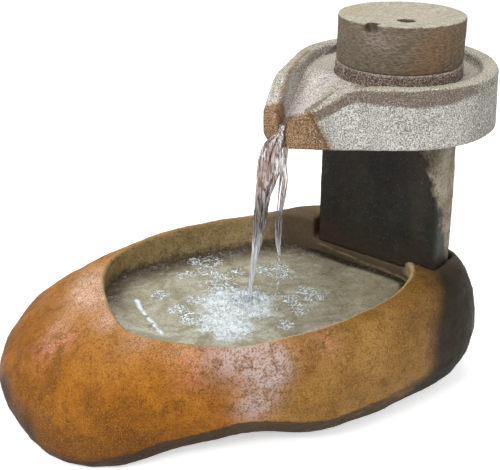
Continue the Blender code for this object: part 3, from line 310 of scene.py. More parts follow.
def peppered(look, colour, fine, dark, light, dark_share=0.75, light_share=0.65):
    """Granite's dark and light specks, laid over a colour."""
    colour = look.veil(colour, dark, fine, 0.5, 0.4, dark_share)
    return look.veil(colour, light, fine, 0.53, 0.63, light_share)


def tray_look():
    look = Look("tray_granite_look")
    fine = look.noise(390.0, 2, 0.65)
    coarse = look.noise(120.0, 4, 0.7)
    patches = look.noise(13.0, 4, 0.6, 0.5)
    colour = look.ramp(patches, (0.34, (166, 165, 157)), (0.5, (182, 181, 173)), (0.66, (198, 197, 190)))
    brown = look.scaled(coarse, 0.7, look.painted("brown"))
    brown = look.rise(look.scaled(look.noise(26.0, 4, 0.65, 0.3), 1.1, brown), 1.1, 1.75)
    colour = look.tint(colour, (120, 103, 88), brown, 0.8)
    # Painted shade on the tray's right side
    shady = look.zone("green", patches, 0.3, 0.55, 0.6, 1.0)
    colour = look.tint(colour, (124, 124, 104), shady, 0.75)
    rim = look.ramp(patches, (0.35, (166, 158, 132)), (0.62, (192, 184, 164)))
    colour = look.mix(look.painted("rim"), colour, rim)
    channel = look.painted("channel")
    bed = look.ramp(patches, (0.34, (164, 154, 136)), (0.52, (186, 176, 158)), (0.68, (202, 193, 179)))
    colour = look.mix(channel, colour, bed)
    # Painted shade with wet stone on the back left inner wall
    colour = look.tint(colour, (84, 72, 54), look.painted("wall"), 0.2)
    # Painted highlight on the wet channel
    flow = look.zone("flow", coarse, 0.38, 0.56, 0.4, 1.0)
    colour = look.tint(colour, (228, 216, 214), flow, 0.8)
    colour = peppered(look, colour, fine, (88, 80, 70), (242, 241, 236))
    colour = look.tint(colour, (98, 80, 66), brown, 0.62)
    rust = look.rise(look.scaled(coarse, 0.5, look.painted("rust")), 0.45, 0.95)
    orange = look.ramp(patches, (0.36, (116, 82, 52)), (0.5, (140, 100, 60)), (0.64, (158, 120, 78)))
    orange = peppered(look, orange, fine, (58, 36, 20), (206, 176, 128), 0.7, 0.5)
    colour = look.tint(colour, orange, rust, 0.9)
    colour = look.mix(look.zone("crease", coarse, 0.34, 0.5, 0.4, 0.75), colour, (84, 62, 42))
    line = look.zone("line", coarse, 0.34, 0.52, 0.3, 1.0)
    colour = look.tint(colour, (116, 78, 44), line, 0.72)
    black = look.rise(look.cells(330.0), 0.3, 0.16)
    few = look.rise(look.shades(330.0), 0.66, 0.74)
    colour = look.tint(colour, (56, 52, 46), look.times(black, few), 0.8)
    rough = look.scaled(look.larger(flow, look.times(channel, 0.3)), -0.55, 0.86)
    height = look.scaled(fine, 0.7, coarse)
    return look.done(colour, rough, height, 0.0018)


def runner_look():
    look = Look("runner_granite_look")
    fine = look.noise(380.0, 2, 0.65)
    coarse = look.noise(70.0, 5, 0.7, 0.3)
    patches = look.noise(12.0, 4, 0.6, 0.4)
    lines = look.noise(60.0, 3, 0.6, 0.15, look.stretched(0.2, 0.2, 4.2))
    strokes = look.noise(520.0, 2, 0.6, 0.0, look.stretched(0.22, 0.22, 1.0))
    side = look.ramp(lines, (0.34, (96, 85, 71)), (0.5, (108, 96, 81)), (0.66, (120, 108, 92)))
    side = look.veil(side, (98, 80, 58), look.x, MILL.x - 0.05, MILL.x + 0.1, 0.45)
    # Painted light: the side is paler towards the left
    side = look.veil(side, (136, 123, 106), look.x, MILL.x - 0.02, MILL.x - 0.11, 0.6)
    side = look.veil(side, (98, 94, 78), patches, 0.46, 0.62, 0.45)
    side = look.veil(side, (66, 54, 42), strokes, 0.5, 0.38, 0.5)
    side = look.veil(side, (158, 142, 120), strokes, 0.53, 0.64, 0.45)
    side = look.mix(look.zone("pink", strokes, 0.4, 0.56, 0.1, 0.6), side, (158, 140, 134))
    side = look.mix(look.zone("stain", strokes, 0.38, 0.56, 0.1, 0.4), side, (140, 96, 50))
    top = look.ramp(coarse, (0.34, (158, 150, 128)), (0.52, (178, 172, 154)), (0.7, (196, 192, 176)))
    centre = look.rise(look.against((MILL.x, MILL.y, RUNNER_HIGH.z), "DISTANCE"), 0.11, 0.04, 0.0, 0.5)
    top = look.mix(look.times(centre, look.rise(patches, 0.4, 0.6)), top, (186, 170, 158))
    top = look.tint(top, (166, 156, 96), look.zone("moss", coarse, 0.36, 0.58), 0.65)
    top = peppered(look, top, fine, (120, 108, 90), (224, 220, 208), 0.55, 0.45)
    colour = look.mix(look.painted("top"), side, top)
    colour = look.tint(colour, (206, 198, 176), look.zone("edge", coarse, 0.38, 0.55), 0.7)
    # Painted shade in the notch
    colour = look.tint(colour, (50, 46, 32), look.painted("notch"), 0.7)
    low = look.rise(look.z, RUNNER_LOW.z + 0.006, RUNNER_LOW.z)
    colour = look.tint(colour, (84, 70, 54), low, 0.55)
    height = look.scaled(strokes, 0.8, look.scaled(fine, 0.5, coarse))
    return look.done(colour, 0.88, height, 0.002, Specular_IOR_Level=0.35)


def bed_look():
    look = Look("bed_granite_look")
    fine = look.noise(370.0, 2, 0.65)
    coarse = look.noise(90.0, 5, 0.7, 0.3)
    colour = look.ramp(coarse, (0.36, (88, 74, 66)), (0.5, (110, 95, 85)), (0.66, (134, 118, 108)))
    edge = look.rise(look.scaled(coarse, 0.006, look.z), BED_TOP - 0.002, BED_TOP + 0.003)
    colour = look.tint(colour, (190, 172, 160), edge, 0.65)
    colour = peppered(look, colour, fine, (52, 40, 34), (216, 200, 188), 0.8, 0.6)
    height = look.scaled(fine, 0.6, coarse)
    return look.done(colour, 0.85, height, 0.0018)


# Metals, plastics and rubber of the hidden pieces


def plain_look(name, dark, light, roughness, metallic=0.0):
    """A material whose colour and gloss vary a little, for a small piece."""
    look = Look(name)
    cloud = look.noise(60.0, 4, 0.6, 0.2)
    fine = look.noise(840.0, 2, 0.6)
    colour = look.ramp(cloud, (0.35, dark), (0.65, light))
    rough = look.scaled(fine, 0.16, roughness - 0.08)
    return look.done(colour, rough, fine, 0.0003, 0.6, Metallic=metallic)


# Meshes


def placed(name, data):
    """A new object in the scene that holds a mesh, lamp or camera."""
    made = bpy.data.objects.new(name, data)
    bpy.context.scene.collection.objects.link(made)
    return made


def refined(name, node):
    """A finer copy of a CAD node, for surface detail that the solid leaves out."""
    made = placed(name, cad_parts[node].data.copy())
    remesh = made.modifiers.new("voxels", "REMESH")
    remesh.mode = "VOXEL"
    remesh.voxel_size = VOXELS[name]
    made.modifiers.new("smooth", "SMOOTH")
    graph = bpy.context.evaluated_depsgraph_get()
    mesh = bpy.data.meshes.new_from_object(made.evaluated_get(graph))
    made.modifiers.clear()
    made.data = mesh
    mesh.name = name
    mesh.shade_smooth()
    return made


def roughen(obj, waves, share=lambda place: 1.0):
    """Moves each vertex along its normal by a sum of noises, each given as (frequency, size)."""
    moved = []
    for vertex in obj.data.vertices:
        shift = sum(size * noise.noise(vertex.co * frequency) for frequency, size in waves)
        moved.append(vertex.co + vertex.normal * (shift * share(vertex.co)))
    for vertex, place in zip(obj.data.vertices, moved):
        vertex.co = place
    obj.data.update()


def paint(obj, **shares):
    """Writes a number for each vertex under each name, for the material to read."""
    for name, share in shares.items():
        layer = obj.data.attributes.new(name, "FLOAT", "POINT")
        for vertex in obj.data.vertices:
            layer.data[vertex.index].value = share(vertex)


def step_up(value, low, high):
    """Goes smoothly from 0 at low to 1 at high."""
    share = max(0.0, min(1.0, (value - low) / (high - low)))
    return share * share * (3 - 2 * share)


def step_down(value, low, high):
    """Goes smoothly from 1 at low to 0 at high."""
    return 1 - step_up(value, low, high)


def glow(place, spots):
    """How near a place is to the given spots, from 0 to 1; each is X, Y, Z, reach and strength."""
    total = 0.0
    for x, y, z, reach, strength in spots:
        away = (place.x - x) ** 2 + (place.y - y) ** 2 + (place.z - z) ** 2
        total += strength * math.exp(-away / reach**2)
    return min(1.0, total)


def glows(spots):
    return lambda vertex: glow(vertex.co, spots)


def along(place, line, width):
    """From 1 on a line of points to 0 at its width away, seen from above."""
    best = width
    for here, there in zip(line, line[1:]):
        run = there - here
        share = max(0.0, min(1.0, (place - here).dot(run) / run.length_squared))
        best = min(best, (here + run * share - place).length)
    return step_down(best, 0.3 * width, width)


def wear(obj, material, *nodes, body="fountain"):
    """Gives an object its material and its body, and hides the CAD nodes that it stands for."""
    obj.data.materials.clear()
    obj.data.materials.append(material)
    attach(obj, body)
    if nodes:
        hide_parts(*nodes)


def level_loops(node, height):
    """The closed outlines in which a level plane cuts a CAD node, largest first."""
    bm = bmesh.new()
    bm.from_mesh(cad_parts[node].data)
    bmesh.ops.remove_doubles(bm, verts=bm.verts, dist=1e-6)
    found = bmesh.ops.bisect_plane(
        bm, geom=bm.verts[:] + bm.edges[:] + bm.faces[:], plane_co=(0, 0, height), plane_no=(0, 0, 1)
    )
    links = {}
    for item in found["geom_cut"]:
        if isinstance(item, bmesh.types.BMEdge):
            for vertex in item.verts:
                links.setdefault(vertex, []).append(item.other_vert(vertex))
    loops = []
    seen = set()
    for start in links:
        if start in seen:
            continue
        loop, here = [], start
        while here is not None:
            seen.add(here)
            loop.append(here.co.xy.copy())
            here = next((other for other in links[here] if other not in seen), None)
        loops.append(loop)
    bm.free()
    return sorted(loops, key=lambda loop: -abs(loop_area(loop)))


def loop_area(loop):
    return 0.5 * sum(a.x * b.y - b.x * a.y for a, b in zip(loop, loop[1:] + loop[:1]))


def widened(loop, reach):
    """The loop moved outwards by a small distance."""
    side = 1 if loop_area(loop) > 0 else -1
    count = len(loop)
    moved = []
    for index in range(count):
        run = (loop[(index + 1) % count] - loop[index - 1]).normalized()
        moved.append(loop[index] + Vector((run.y, -run.x)) * reach * side)
    return moved


def even_loop(loop, spacing):
    """The loop with points at an even spacing."""
    points, carried = [], 0.0
    for a, b in zip(loop, loop[1:] + loop[:1]):
        length = (b - a).length
        while carried < length:
            points.append(a.lerp(b, carried / length))
            carried += spacing
        carried -= length
    return points


# The hidden pieces keep their solids and wear plain looks
STEEL = ("locating_dowel_left", "locating_dowel_right", "hose_clamp_lower", "hose_clamp_upper", "pump_shaft")
PLASTIC = ("pump_motor_housing", "pump_volute", "outlet_nozzle", "strainer_cap")
RUBBER = ("riser_grommet", "cable_gland", "volute_seal", "rear_shaft_bush", "front_shaft_bush")
FEET = tuple(f"suction_foot_{number}" for number in range(1, 5))
for material, nodes in (
    (plain_look("forged_iron_look", (52, 46, 42), (92, 84, 76), 0.62, 0.9), ("mill_pin",)),
    (plain_look("brass_look", (150, 116, 56), (196, 160, 88), 0.35, 1.0), ("pin_bush",)),
    (plain_look("copper_look", (168, 104, 70), (204, 140, 104), 0.35, 1.0), ("riser_pipe",)),
    (plain_look("steel_look", (150, 150, 148), (196, 196, 194), 0.32, 1.0), STEEL),
    (plain_look("pump_plastic_look", (24, 24, 25), (40, 40, 42), 0.45), PLASTIC),
    (plain_look("impeller_look", (140, 142, 146), (166, 168, 172), 0.42), ("pump_impeller",)),
    (plain_look("rubber_look", (22, 22, 22), (38, 37, 36), 0.72), RUBBER + FEET),
    (plain_look("hose_look", (158, 166, 158), (188, 194, 186), 0.25), ("pump_hose",)),
    (plain_look("magnet_look", (50, 50, 54), (74, 74, 78), 0.5), ("rotor_magnet",)),
):
    for node in nodes:
        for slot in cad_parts[node].material_slots:
            slot.material = material

# The stones, refined
water_loop = level_loops("boulder_basin", WATER_LEVEL)[1]

boulder = refined("boulder", "boulder_basin")
roughen(boulder, ((9.0, 0.0035), (26.0, 0.0012), (80.0, 0.0007)), lambda place: place.z > 0.006)

# Places on the boulder: X, Y, Z, reach and strength
GLINTS = (
    (-0.323, -0.005, 0.25, 0.045, 0.7),
    (-0.305, -0.095, 0.246, 0.045, 1.0),
    (-0.34, -0.06, 0.243, 0.04, 0.7),
    (-0.268, -0.177, 0.244, 0.032, 0.9),
    (-0.374, -0.155, 0.216, 0.035, 0.5),
    (-0.2, -0.245, 0.243, 0.035, 0.5),
    (-0.12, -0.275, 0.235, 0.035, 0.4),
)
REDS = (
    (-0.387, -0.19, 0.2, 0.045, 0.9),
    (-0.35, -0.19, 0.22, 0.03, 0.7),
    (-0.27, -0.165, 0.246, 0.03, 0.9),
    (-0.1, -0.29, 0.2, 0.04, 0.6),
    (0.15, -0.235, 0.24, 0.035, 0.6),
    (0.409, -0.1, 0.155, 0.045, 0.6),
)
SHEENS = (
    (-0.05, -0.285, 0.235, 0.045, 0.5),
    (-0.005, -0.288, 0.232, 0.045, 0.7),
    (0.035, -0.285, 0.232, 0.042, 1.0),
    (0.058, -0.283, 0.2, 0.03, 0.9),
    (0.03, -0.295, 0.15, 0.04, 0.7),
    (0.015, -0.295, 0.112, 0.035, 0.6),
)
PITTED = (
    (0.28, -0.182, 0.208, 0.05, 1.0),
    (0.37, -0.137, 0.138, 0.045, 1.0),
    (0.27, -0.207, 0.15, 0.06, 0.4),
)
# Painted shade next to the pillar's foot
FOOT_SHADE_SPOTS = (
    (0.402, 0.03, 0.258, 0.03, 0.8),
    (0.45, 0.07, 0.255, 0.04, 0.9),
    (0.355, 0.07, 0.245, 0.026, 0.7),
)
DARK_FOOT = ((-0.500, -0.180, 0.060, 0.058, 1.0), (-0.455, -0.285, 0.030, 0.060, 1.0))

shore = even_loop(water_loop, spacing=0.002)
shore_tree = kdtree.KDTree(len(shore))
for number, point in enumerate(shore):
    shore_tree.insert((*point, 0), number)
shore_tree.balance()
shore_side = 1 if loop_area(shore) > 0 else -1


def shore_distance(place):
    """How far a place is outside the water's outline; less than 0 is inside."""
    point, number, away = shore_tree.find((place.x, place.y, 0))
    run = shore[(number + 1) % len(shore)] - shore[number - 1]
    outward = Vector((run.y, -run.x)) * shore_side
    return away if (place.xy - point.xy).dot(outward) > 0 else -away


def backward(place):
    """How far back a place is, square to the pillar's face."""
    return 0.616 * place.x + 0.788 * place.y


def basin_share(vertex):
    if vertex.co.z < 0.05:
        return 0.0
    return step_down(shore_distance(vertex.co), 0.001, 0.004)


def rim_share(vertex):
    """The pale edge of the basin; it doesn't show where the pillar stands over it."""
    co = vertex.co
    if co.z < 0.225:
        return 0.0
    covered = step_up(co.y, 0.03, 0.065) * step_up(co.x, 0.02, 0.1)
    return (1 - covered) * step_down(abs(shore_distance(co) - 0.003), 0.002, 0.007)


def tide_share(vertex):
    """The thin pale line on the basin's right wall, near the water's level."""
    co = vertex.co
    level = WATER_LEVEL + 0.01 - 0.08 * (co.x - 0.26)
    thin = step_down(abs(co.z - level), 0.001, 0.0035)
    return basin_share(vertex) * step_up(co.x, 0.14, 0.19) * thin


def end_share(vertex):
    """The dark right end, painted shade over the stone's dark green on the end turned from the light, with a
    gentler darkening that leads to it.
    """
    co = vertex.co
    place = co.x + 0.25 * (0.245 - co.z) + 0.008 * noise.noise(co * 14)
    lead = step_up(place, 0.27, 0.43) * step_up(co.z, 0.07, 0.21)
    # The low right corner gets painted shade too
    corner = step_up(0.1 - co.z, 0.0, 0.06) * step_up(co.x, 0.27, 0.38)
    return min(1.0, 0.13 + 0.44 * lead + 0.4 * corner + 0.8 * step_up(place, 0.385, 0.475))


# Painted shade on the boulder's underside, and a darker patch at its left foot
def under_share(vertex):
    return max(step_up(-vertex.normal.z, 0.05, 0.55), glow(vertex.co, DARK_FOOT))


def seat_share(vertex):
    """Painted shade round the pillar's foot and behind the basin's right wall."""
    co = vertex.co
    behind = step_up(backward(co), 0.14, 0.17) * step_up(co.x, 0.02, 0.08)
    behind *= step_up(co.y, 0.01, 0.045) * step_up(co.z, 0.18, 0.21)
    behind *= step_down(shore_distance(co), 0.015, 0.11)
    return max(behind, glow(co, FOOT_SHADE_SPOTS))


paint(
    boulder,
    seat=seat_share,
    basin=basin_share,
    rim=rim_share,
    end=end_share,
    under=under_share,
    tide=tide_share,
    glint=glows(GLINTS),
    red=glows(REDS),
    sheen=glows(SHEENS),
    pitted=glows(PITTED),
)
wear(boulder, boulder_look(), "boulder_basin")

pillar = refined("pillar_slab", "pillar")
roughen(pillar, ((30.0, 0.0010), (90.0, 0.0006)))
wear(pillar, pillar_look(), "pillar")

tray = refined("tray", "mill_tray")
roughen(tray, ((22.0, 0.0008), (110.0, 0.0004), (260.0, 0.0002)))

# Lines on the tray in the mill's frame: the inner edge of the beak's flank, and its flow's middle
FLANK_PLACES = ((-0.182, 0.085), (-0.206, 0.020), (-0.226, -0.060), (-0.243, -0.120), (-0.258, -0.172))
FLOW_PLACES = ((-0.150, -0.020), (-0.195, -0.080), (-0.225, -0.125), (-0.2505, -0.190))
FLANK_LINE = tuple(MILL.xy + Vector(place) for place in FLANK_PLACES)
FLOW_LINE = tuple(MILL.xy + Vector(place) for place in FLOW_PLACES)


def tray_rim(vertex):
    upward = step_up(vertex.normal.z, 0.45, 0.8)
    return upward * step_up(vertex.co.z, TRAY_HIGH.z - 0.012, TRAY_HIGH.z - 0.003)


def tray_channel(vertex):
    if vertex.normal.z < 0.2 or vertex.co.z < TRAY_LOW.z + 0.01:
        return 0.0
    return step_down(vertex.co.z, TRAY_HIGH.z - 0.018, TRAY_HIGH.z - 0.008)


def tray_wall(vertex):
    """The upright inner wall at the back left, wet stone darkened further with painted shade."""
    co = vertex.co
    away = (co - TRAY_MIDDLE).xy
    facing = -vertex.normal.xy.dot(away.normalized())
    back = step_up(away.y, -0.13, -0.02) * step_up(-away.x, -0.06, 0.02)
    return step_up(facing, 0.3, 0.7) * back


# Wet stone where the water runs, with a painted highlight
def tray_flow(vertex):
    if vertex.normal.z < 0.25:
        return 0.0
    return along(vertex.co.xy, FLOW_LINE, 0.045) * step_down(vertex.co.z, 0.655, 0.668)


def tray_brown(vertex):
    """The darker brown band under the front rim; it reaches lower in its middle."""
    co = vertex.co
    place = co.x - MILL.x
    depth = 0.022 + 0.014 * math.exp(-(((place - 0.02) / 0.07) ** 2))
    edge = TRAY_HIGH.z - 0.004 - 0.046 * step_down(place, -0.205, -0.105)
    level = step_up(co.z, edge - 0.008 - depth, edge - 0.01 - 0.3 * depth)
    top = 1 - 0.8 * step_up(co.z, edge - 0.002, edge + 0.003)
    sides = step_up(place, -0.212, -0.19) * (1 - 0.6 * step_up(place, 0.08, 0.16))
    return level * top * sides * step_up(-vertex.normal.y, 0.15, 0.6)


# Painted shade on the tray's right side, greenish grey
def tray_right_shade(vertex):
    return step_up(vertex.co.x - MILL.x, 0.085, 0.15) * (1 - tray_rim(vertex))


def crease_side(co):
    """How far right of the slanting crease a place on the beak is, in the mill's frame."""
    return co.x - MILL.x + 0.194 - 0.533 * (0.632 - co.z)


def tray_rust(vertex):
    """The rusty facet, up to a slanting crease, and the lip at the chute."""
    co = vertex.co
    right = crease_side(co)
    facet = step_down(right, -0.006, 0.004)
    fading = 0.55 * step_down(right, 0.0, 0.036)
    low = step_down(co.z, 0.636, 0.655)
    outside = step_up(MILL.y - co.y, 0.15, 0.175)
    lip = step_down((co - Vector((*BEAK_TIP.xy, 0.6))).length, 0.04, 0.085)
    return max(max(facet, fading) * outside * low, lip * step_down(co.z, 0.632, 0.65))


def tray_crease(vertex):
    co = vertex.co
    near = step_down(abs(crease_side(co)), 0.0015, 0.005)
    return near * step_up(MILL.y - co.y, 0.15, 0.175) * step_down(co.z, 0.63, 0.645)


paint(
    tray,
    rim=tray_rim,
    channel=tray_channel,
    wall=tray_wall,
    flow=tray_flow,
    brown=tray_brown,
    green=tray_right_shade,
    rust=tray_rust,
    crease=tray_crease,
    line=lambda vertex: along(vertex.co.xy, FLANK_LINE, 0.006) * step_up(vertex.co.z, 0.6, 0.63),
)
wear(tray, tray_look(), "mill_tray")

bed = refined("bed", "bed_stone")
roughen(bed, ((40.0, 0.0006), (140.0, 0.0004)), lambda place: place.z < RUNNER_LOW.z - 0.002)
wear(bed, bed_look(), "bed_stone")

runner = refined("runner", "runner_stone")
roughen(
    runner,
    ((30.0, 0.0008), (140.0, 0.0004)),
    lambda place: step_up(place.z, RUNNER_LOW.z + 0.001, RUNNER_LOW.z + 0.004),
)
NOTCH_PLACE = MILL + Vector((math.cos(NOTCH_TURN), math.sin(NOTCH_TURN), 0)) * NOTCH_REACH
PINKS = ((0.2450, 0.0200, 0.755, 0.022, 1.0), (0.2700, 0.0120, 0.748, 0.018, 0.7))
STAINS = (
    (0.375, 0.018, 0.755, 0.03, 1.0),
    (0.36, 0.012, 0.72, 0.034, 1.0),
    (0.345, 0.008, 0.698, 0.03, 0.8),
    (0.415, 0.05, 0.74, 0.025, 0.5),
)
MOSSES = ((0.215, 0.140, RUNNER_HIGH.z, 0.030, 1.0), (0.235, 0.185, RUNNER_HIGH.z, 0.030, 0.8))


def runner_top(vertex):
    if vertex.co.z < RUNNER_HIGH.z - 0.012:
        return 0.0
    return step_up(vertex.normal.z, 0.55, 0.85)


def runner_edge(vertex):
    if vertex.co.z < RUNNER_HIGH.z - 0.012:
        return 0.0
    return step_up(vertex.normal.z, 0.25, 0.5) * step_down(vertex.normal.z, 0.75, 0.95)


# Painted shade in the notch at the runner's top edge
def runner_notch(vertex):
    away = (vertex.co - NOTCH_PLACE).xy.length
    depth = RUNNER_HIGH.z - vertex.co.z
    return step_down(away, 0.013, 0.019) * step_down(depth, 0.008, 0.017)


paint(
    runner,
    top=runner_top,
    edge=runner_edge,
    notch=lambda vertex: runner_notch(vertex) * (1 - 0.8 * runner_top(vertex)),
    pink=glows(PINKS),
    stain=glows(STAINS),
    moss=glows(MOSSES),
)
wear(runner, runner_look(), "runner_stone", body="runner")


# Water


# Places on the water: X, Y, 0, reach and strength
FOAMS = (
    (-0.022, -0.037, 0, 0.05, 1.0),
    (-0.001, -0.058, 0, 0.045, 1.0),
    (-0.042, -0.1, 0, 0.045, 0.8),
    (-0.04, -0.165, 0, 0.035, 0.9),
    (-0.01, -0.159, 0, 0.03, 0.8),
    (-0.065, -0.037, 0, 0.032, 0.5),
    (0.031, -0.037, 0, 0.028, 0.5),
    (-0.085, -0.15, 0, 0.025, 0.4),
    (0.041, -0.0995, 0, 0.028, 0.4),
)
SPARKLE_REACH = 0.020
SPARKLE_PLACES = (
    (-0.0956, 0.1842), (-0.0707, 0.1386), (-0.0241, 0.0899), (-0.1356, 0.0752),
    (-0.1837, -0.016), (-0.1407, -0.0796), (-0.1137, -0.1121), (-0.0928, -0.1201),
    (0.1291, 0.0073), (0.149, -0.0235), (0.0924, 0.0761), (0.0776, 0.1096),
    (0.0949, -0.0366), (0.1143, -0.0787), (0.081, -0.1392), (0.0546, 0.0902),
    (-0.1074, -0.0374), (-0.078, 0.029), (0.0435, 0.0998), (-0.1166, 0.1384),
    (-0.05, 0.06), (-0.03, 0.02), (-0.085, 0.095), (-0.06, 0.0),
)
SPARKLES = tuple((x, y, 0, SPARKLE_REACH, 1.0) for x, y in SPARKLE_PLACES)
# A painted highlight along the water's edge at the front left
STREAK_PLACES = ((-0.231, -0.036), (-0.222, -0.068), (-0.203, -0.103), (-0.185, -0.140), (-0.168, -0.171))
STREAK = tuple(Vector(place) for place in STREAK_PLACES)


def spots_at(place, spots):
    return glow(Vector((place.x, place.y, 0)), spots)


def water_look():
    look = Look("water_look")
    swirl = look.noise(9.0, 5, 0.62, 1.4)
    fine = look.noise(80.0, 4, 0.7, 0.8)
    curls = look.noise(38.0, 3, 0.6, 1.6)
    froth_curls = look.noise(95.0, 3, 0.6, 1.2)
    specks = look.noise(230.0, 2, 0.6)
    colour = look.ramp(swirl, (0.34, (138, 130, 106)), (0.5, (160, 154, 131)), (0.64, (184, 180, 160)))
    colour = look.veil(colour, (178, 166, 132), look.x, 0.16, 0.28, 0.5)
    colour = look.veil(colour, (112, 104, 84), fine, 0.5, 0.36, 0.4)
    colour = look.veil(colour, (206, 202, 186), specks, 0.52, 0.62, 0.25)
    near_wall = look.zone("shore", fine, 0.3, 0.5, 0.5, 1.0)
    colour = look.tint(colour, (76, 63, 54), near_wall, 0.9)
    colour = look.mix(look.painted("shade"), colour, (56, 53, 41))
    # Painted highlights: thin bright threads on the ripples at the sparkling places, painted shade beside
    # them, and faint wisps all over
    ridge = look.ridge(curls)
    sparkle = look.rise(look.scaled(fine, 0.8, look.painted("sparkle")), 0.55, 0.95)
    threads = look.times(look.rise(ridge, 0.042, 0.012), sparkle)
    dark_side = look.times(look.rise(ridge, 0.085, 0.05), sparkle)
    colour = look.tint(colour, (104, 98, 82), dark_side, 0.55)
    wisps = look.times(look.rise(ridge, 0.014, 0.002), look.rise(swirl, 0.44, 0.58, 0.0, 0.5))
    bubbles = look.rise(look.ridge(froth_curls), 0.085, 0.02, 0.3, 1.0)
    froth = look.scaled(swirl, 0.9, look.scaled(fine, 1.3, look.painted("foam")))
    foam = look.times(look.rise(froth, 1.22, 1.95), bubbles)
    # Foam, together with the painted highlights
    white = look.larger(look.larger(foam, threads), wisps)
    # Painted highlight along the front left edge
    white = look.larger(white, look.zone("streak", fine, 0.4, 0.5))
    colour = look.mix(white, colour, (226, 238, 245))
    rough = look.scaled(white, 0.3, 0.07)
    height = look.scaled(fine, 0.7, swirl)
    return look.done(colour, rough, height, 0.004, 0.6, IOR=WATER_IOR)


# The rings' length over 2 pi, and the distance over which they fade
RING_LENGTH = 0.0052
RING_FADING = 0.070


def ripple(x, y):
    """The height of the water over its level, with rings round both streams."""
    height = 0.0
    for centre, size, start in ((IMPACT, 0.003, 0.0), (SECOND_IMPACT, 0.0016, 1.3)):
        away = math.hypot(x - centre.x, y - centre.y)
        height += size * math.sin(away / RING_LENGTH + start) * math.exp(-away / RING_FADING)
    place = Vector((x, y, 0.3))
    for frequency, size in ((16, 0.0022), (38, 0.0014), (85, 0.0008)):
        height += size * noise.noise(place * frequency)
    height += 0.0045 * spots_at(place, FOAMS) * noise.noise(place * 75)
    height += 0.003 * spots_at(place, SPARKLES) * noise.noise(place * 110)
    return height


def water_surface():
    """Rippled water on rows of points; its edge reaches a little into the basin's wall."""
    edge = even_loop(widened(water_loop, reach=0.004), spacing=0.005)
    inner = widened(water_loop, reach=0.001)
    spacing = 0.0036
    low_x, high_x = min(point.x for point in edge), max(point.x for point in edge)
    low_y, high_y = min(point.y for point in edge), max(point.y for point in edge)
    points = list(edge)
    rows = int((high_y - low_y) / spacing)
    for row in range(rows + 1):
        y = low_y + row * spacing
        crossings = []
        for a, b in zip(inner, inner[1:] + inner[:1]):
            if (a.y > y) != (b.y > y):
                crossings.append((b.x - a.x) * (y - a.y) / (b.y - a.y) + a.x)
        crossings.sort()
        x = low_x + (spacing / 2 if row % 2 else 0)
        while x < high_x:
            if sum(1 for crossing in crossings if crossing < x) % 2:
                points.append(Vector((x, y)))
            x += spacing
    count = len(edge)
    ring = [(index, (index + 1) % count) for index in range(count)]
    flat, _, faces = geometry.delaunay_2d_cdt(points, ring, [], 1, 1e-5)[:3]
    mesh = bpy.data.meshes.new("water_surface")
    places = [(point.x, point.y, WATER_LEVEL + ripple(point.x, point.y)) for point in flat]
    mesh.from_pydata(places, [], faces)
    mesh.shade_smooth()
    return placed("water_surface", mesh)


def shade_share(vertex):
    """The dark band of water along the wall below the pillar."""
    co = vertex.co
    wall = step_up(backward(co), 0.115, 0.145)
    return wall * step_up(co.x, 0.1, 0.17) * step_down(-shore_distance(co), 0.014, 0.028)


def near_wall_share(vertex):
    """Where the water mirrors the wall, at the back and the left."""
    co = vertex.co
    back = step_up(co.y - 0.5 * co.x, 0.02, 0.12)
    return back * step_down(-shore_distance(co), 0.015, 0.085)


# Painted highlight along the water's edge at the front left
def streak_share(vertex):
    wobble = Vector((0.004 * noise.noise(vertex.co * 45), 0))
    return along(vertex.co.xy + wobble, STREAK, 0.006)


water = water_surface()
paint(
    water,
    foam=lambda vertex: spots_at(vertex.co, FOAMS),
    sparkle=lambda vertex: spots_at(vertex.co, SPARKLES),
    streak=streak_share,
    shade=shade_share,
    shore=near_wall_share,
)
wear(water, water_look())


def stream_look():
    """Falling water: brownish streaks under the beak, grey lower down and bluish white at its foot."""
    look = Look("stream_look")
    threads = look.noise(360.0, 3, 0.65, 0.3, look.stretched(1, 1, 0.07))
    patches = look.noise(55.0, 3, 0.6, 0.4, look.stretched(1, 1, 0.35))
    brownish, bluish = (0.46, (150, 134, 128)), (0.53, (206, 200, 202))
    # The bright threads are painted highlights
    colour = look.ramp(threads, (0.38, (76, 60, 54)), brownish, bluish, (0.59, (252, 254, 255)))
    reddish = look.times(look.rise(patches, 0.44, 0.6), look.rise(look.z, 0.4, 0.48, 0.0, 0.5))
    colour = look.mix(reddish, colour, (160, 118, 102))
    dim = look.times(look.rise(look.z, 0.5, 0.42), look.rise(look.z, 0.34, 0.38, 0.0, 0.78))
    colour = look.mix(dim, colour, (84, 74, 68))
    foot = look.rise(look.scaled(patches, 0.06, look.z), 0.43, 0.34, 0.0, 0.72)
    colour = look.mix(foot, colour, (232, 240, 246))
    return look.done(colour, 0.1, threads, 0.002, 0.7, IOR=WATER_IOR, Transmission_Weight=0.12)


def sheet_look():
    """The thin film between the strands."""
    look = Look("stream_sheet_look")
    threads = look.noise(300.0, 3, 0.65, 0.3, look.stretched(1, 1, 0.08))
    # The bright threads are painted highlights
    colour = look.ramp(threads, (0.4, (112, 92, 82)), (0.52, (170, 160, 158)), (0.64, (236, 240, 244)))
    alpha = look.rise(threads, 0.36, 0.6, 0.75, 0.45)
    look.set(Base_Color=colour, Roughness=0.12, IOR=WATER_IOR, Alpha=alpha)
    return look.material


def drop_look():
    look = Look("drop_look")
    cloud = look.noise(160.0, 2, 0.6)
    colour = look.ramp(cloud, (0.4, (176, 184, 188)), (0.6, (236, 244, 250)))
    look.set(Base_Color=colour, Roughness=0.06, IOR=WATER_IOR, Transmission_Weight=0.35)
    return look.material


STRAND_SIDES = 8
STREAM_ROWS = 96


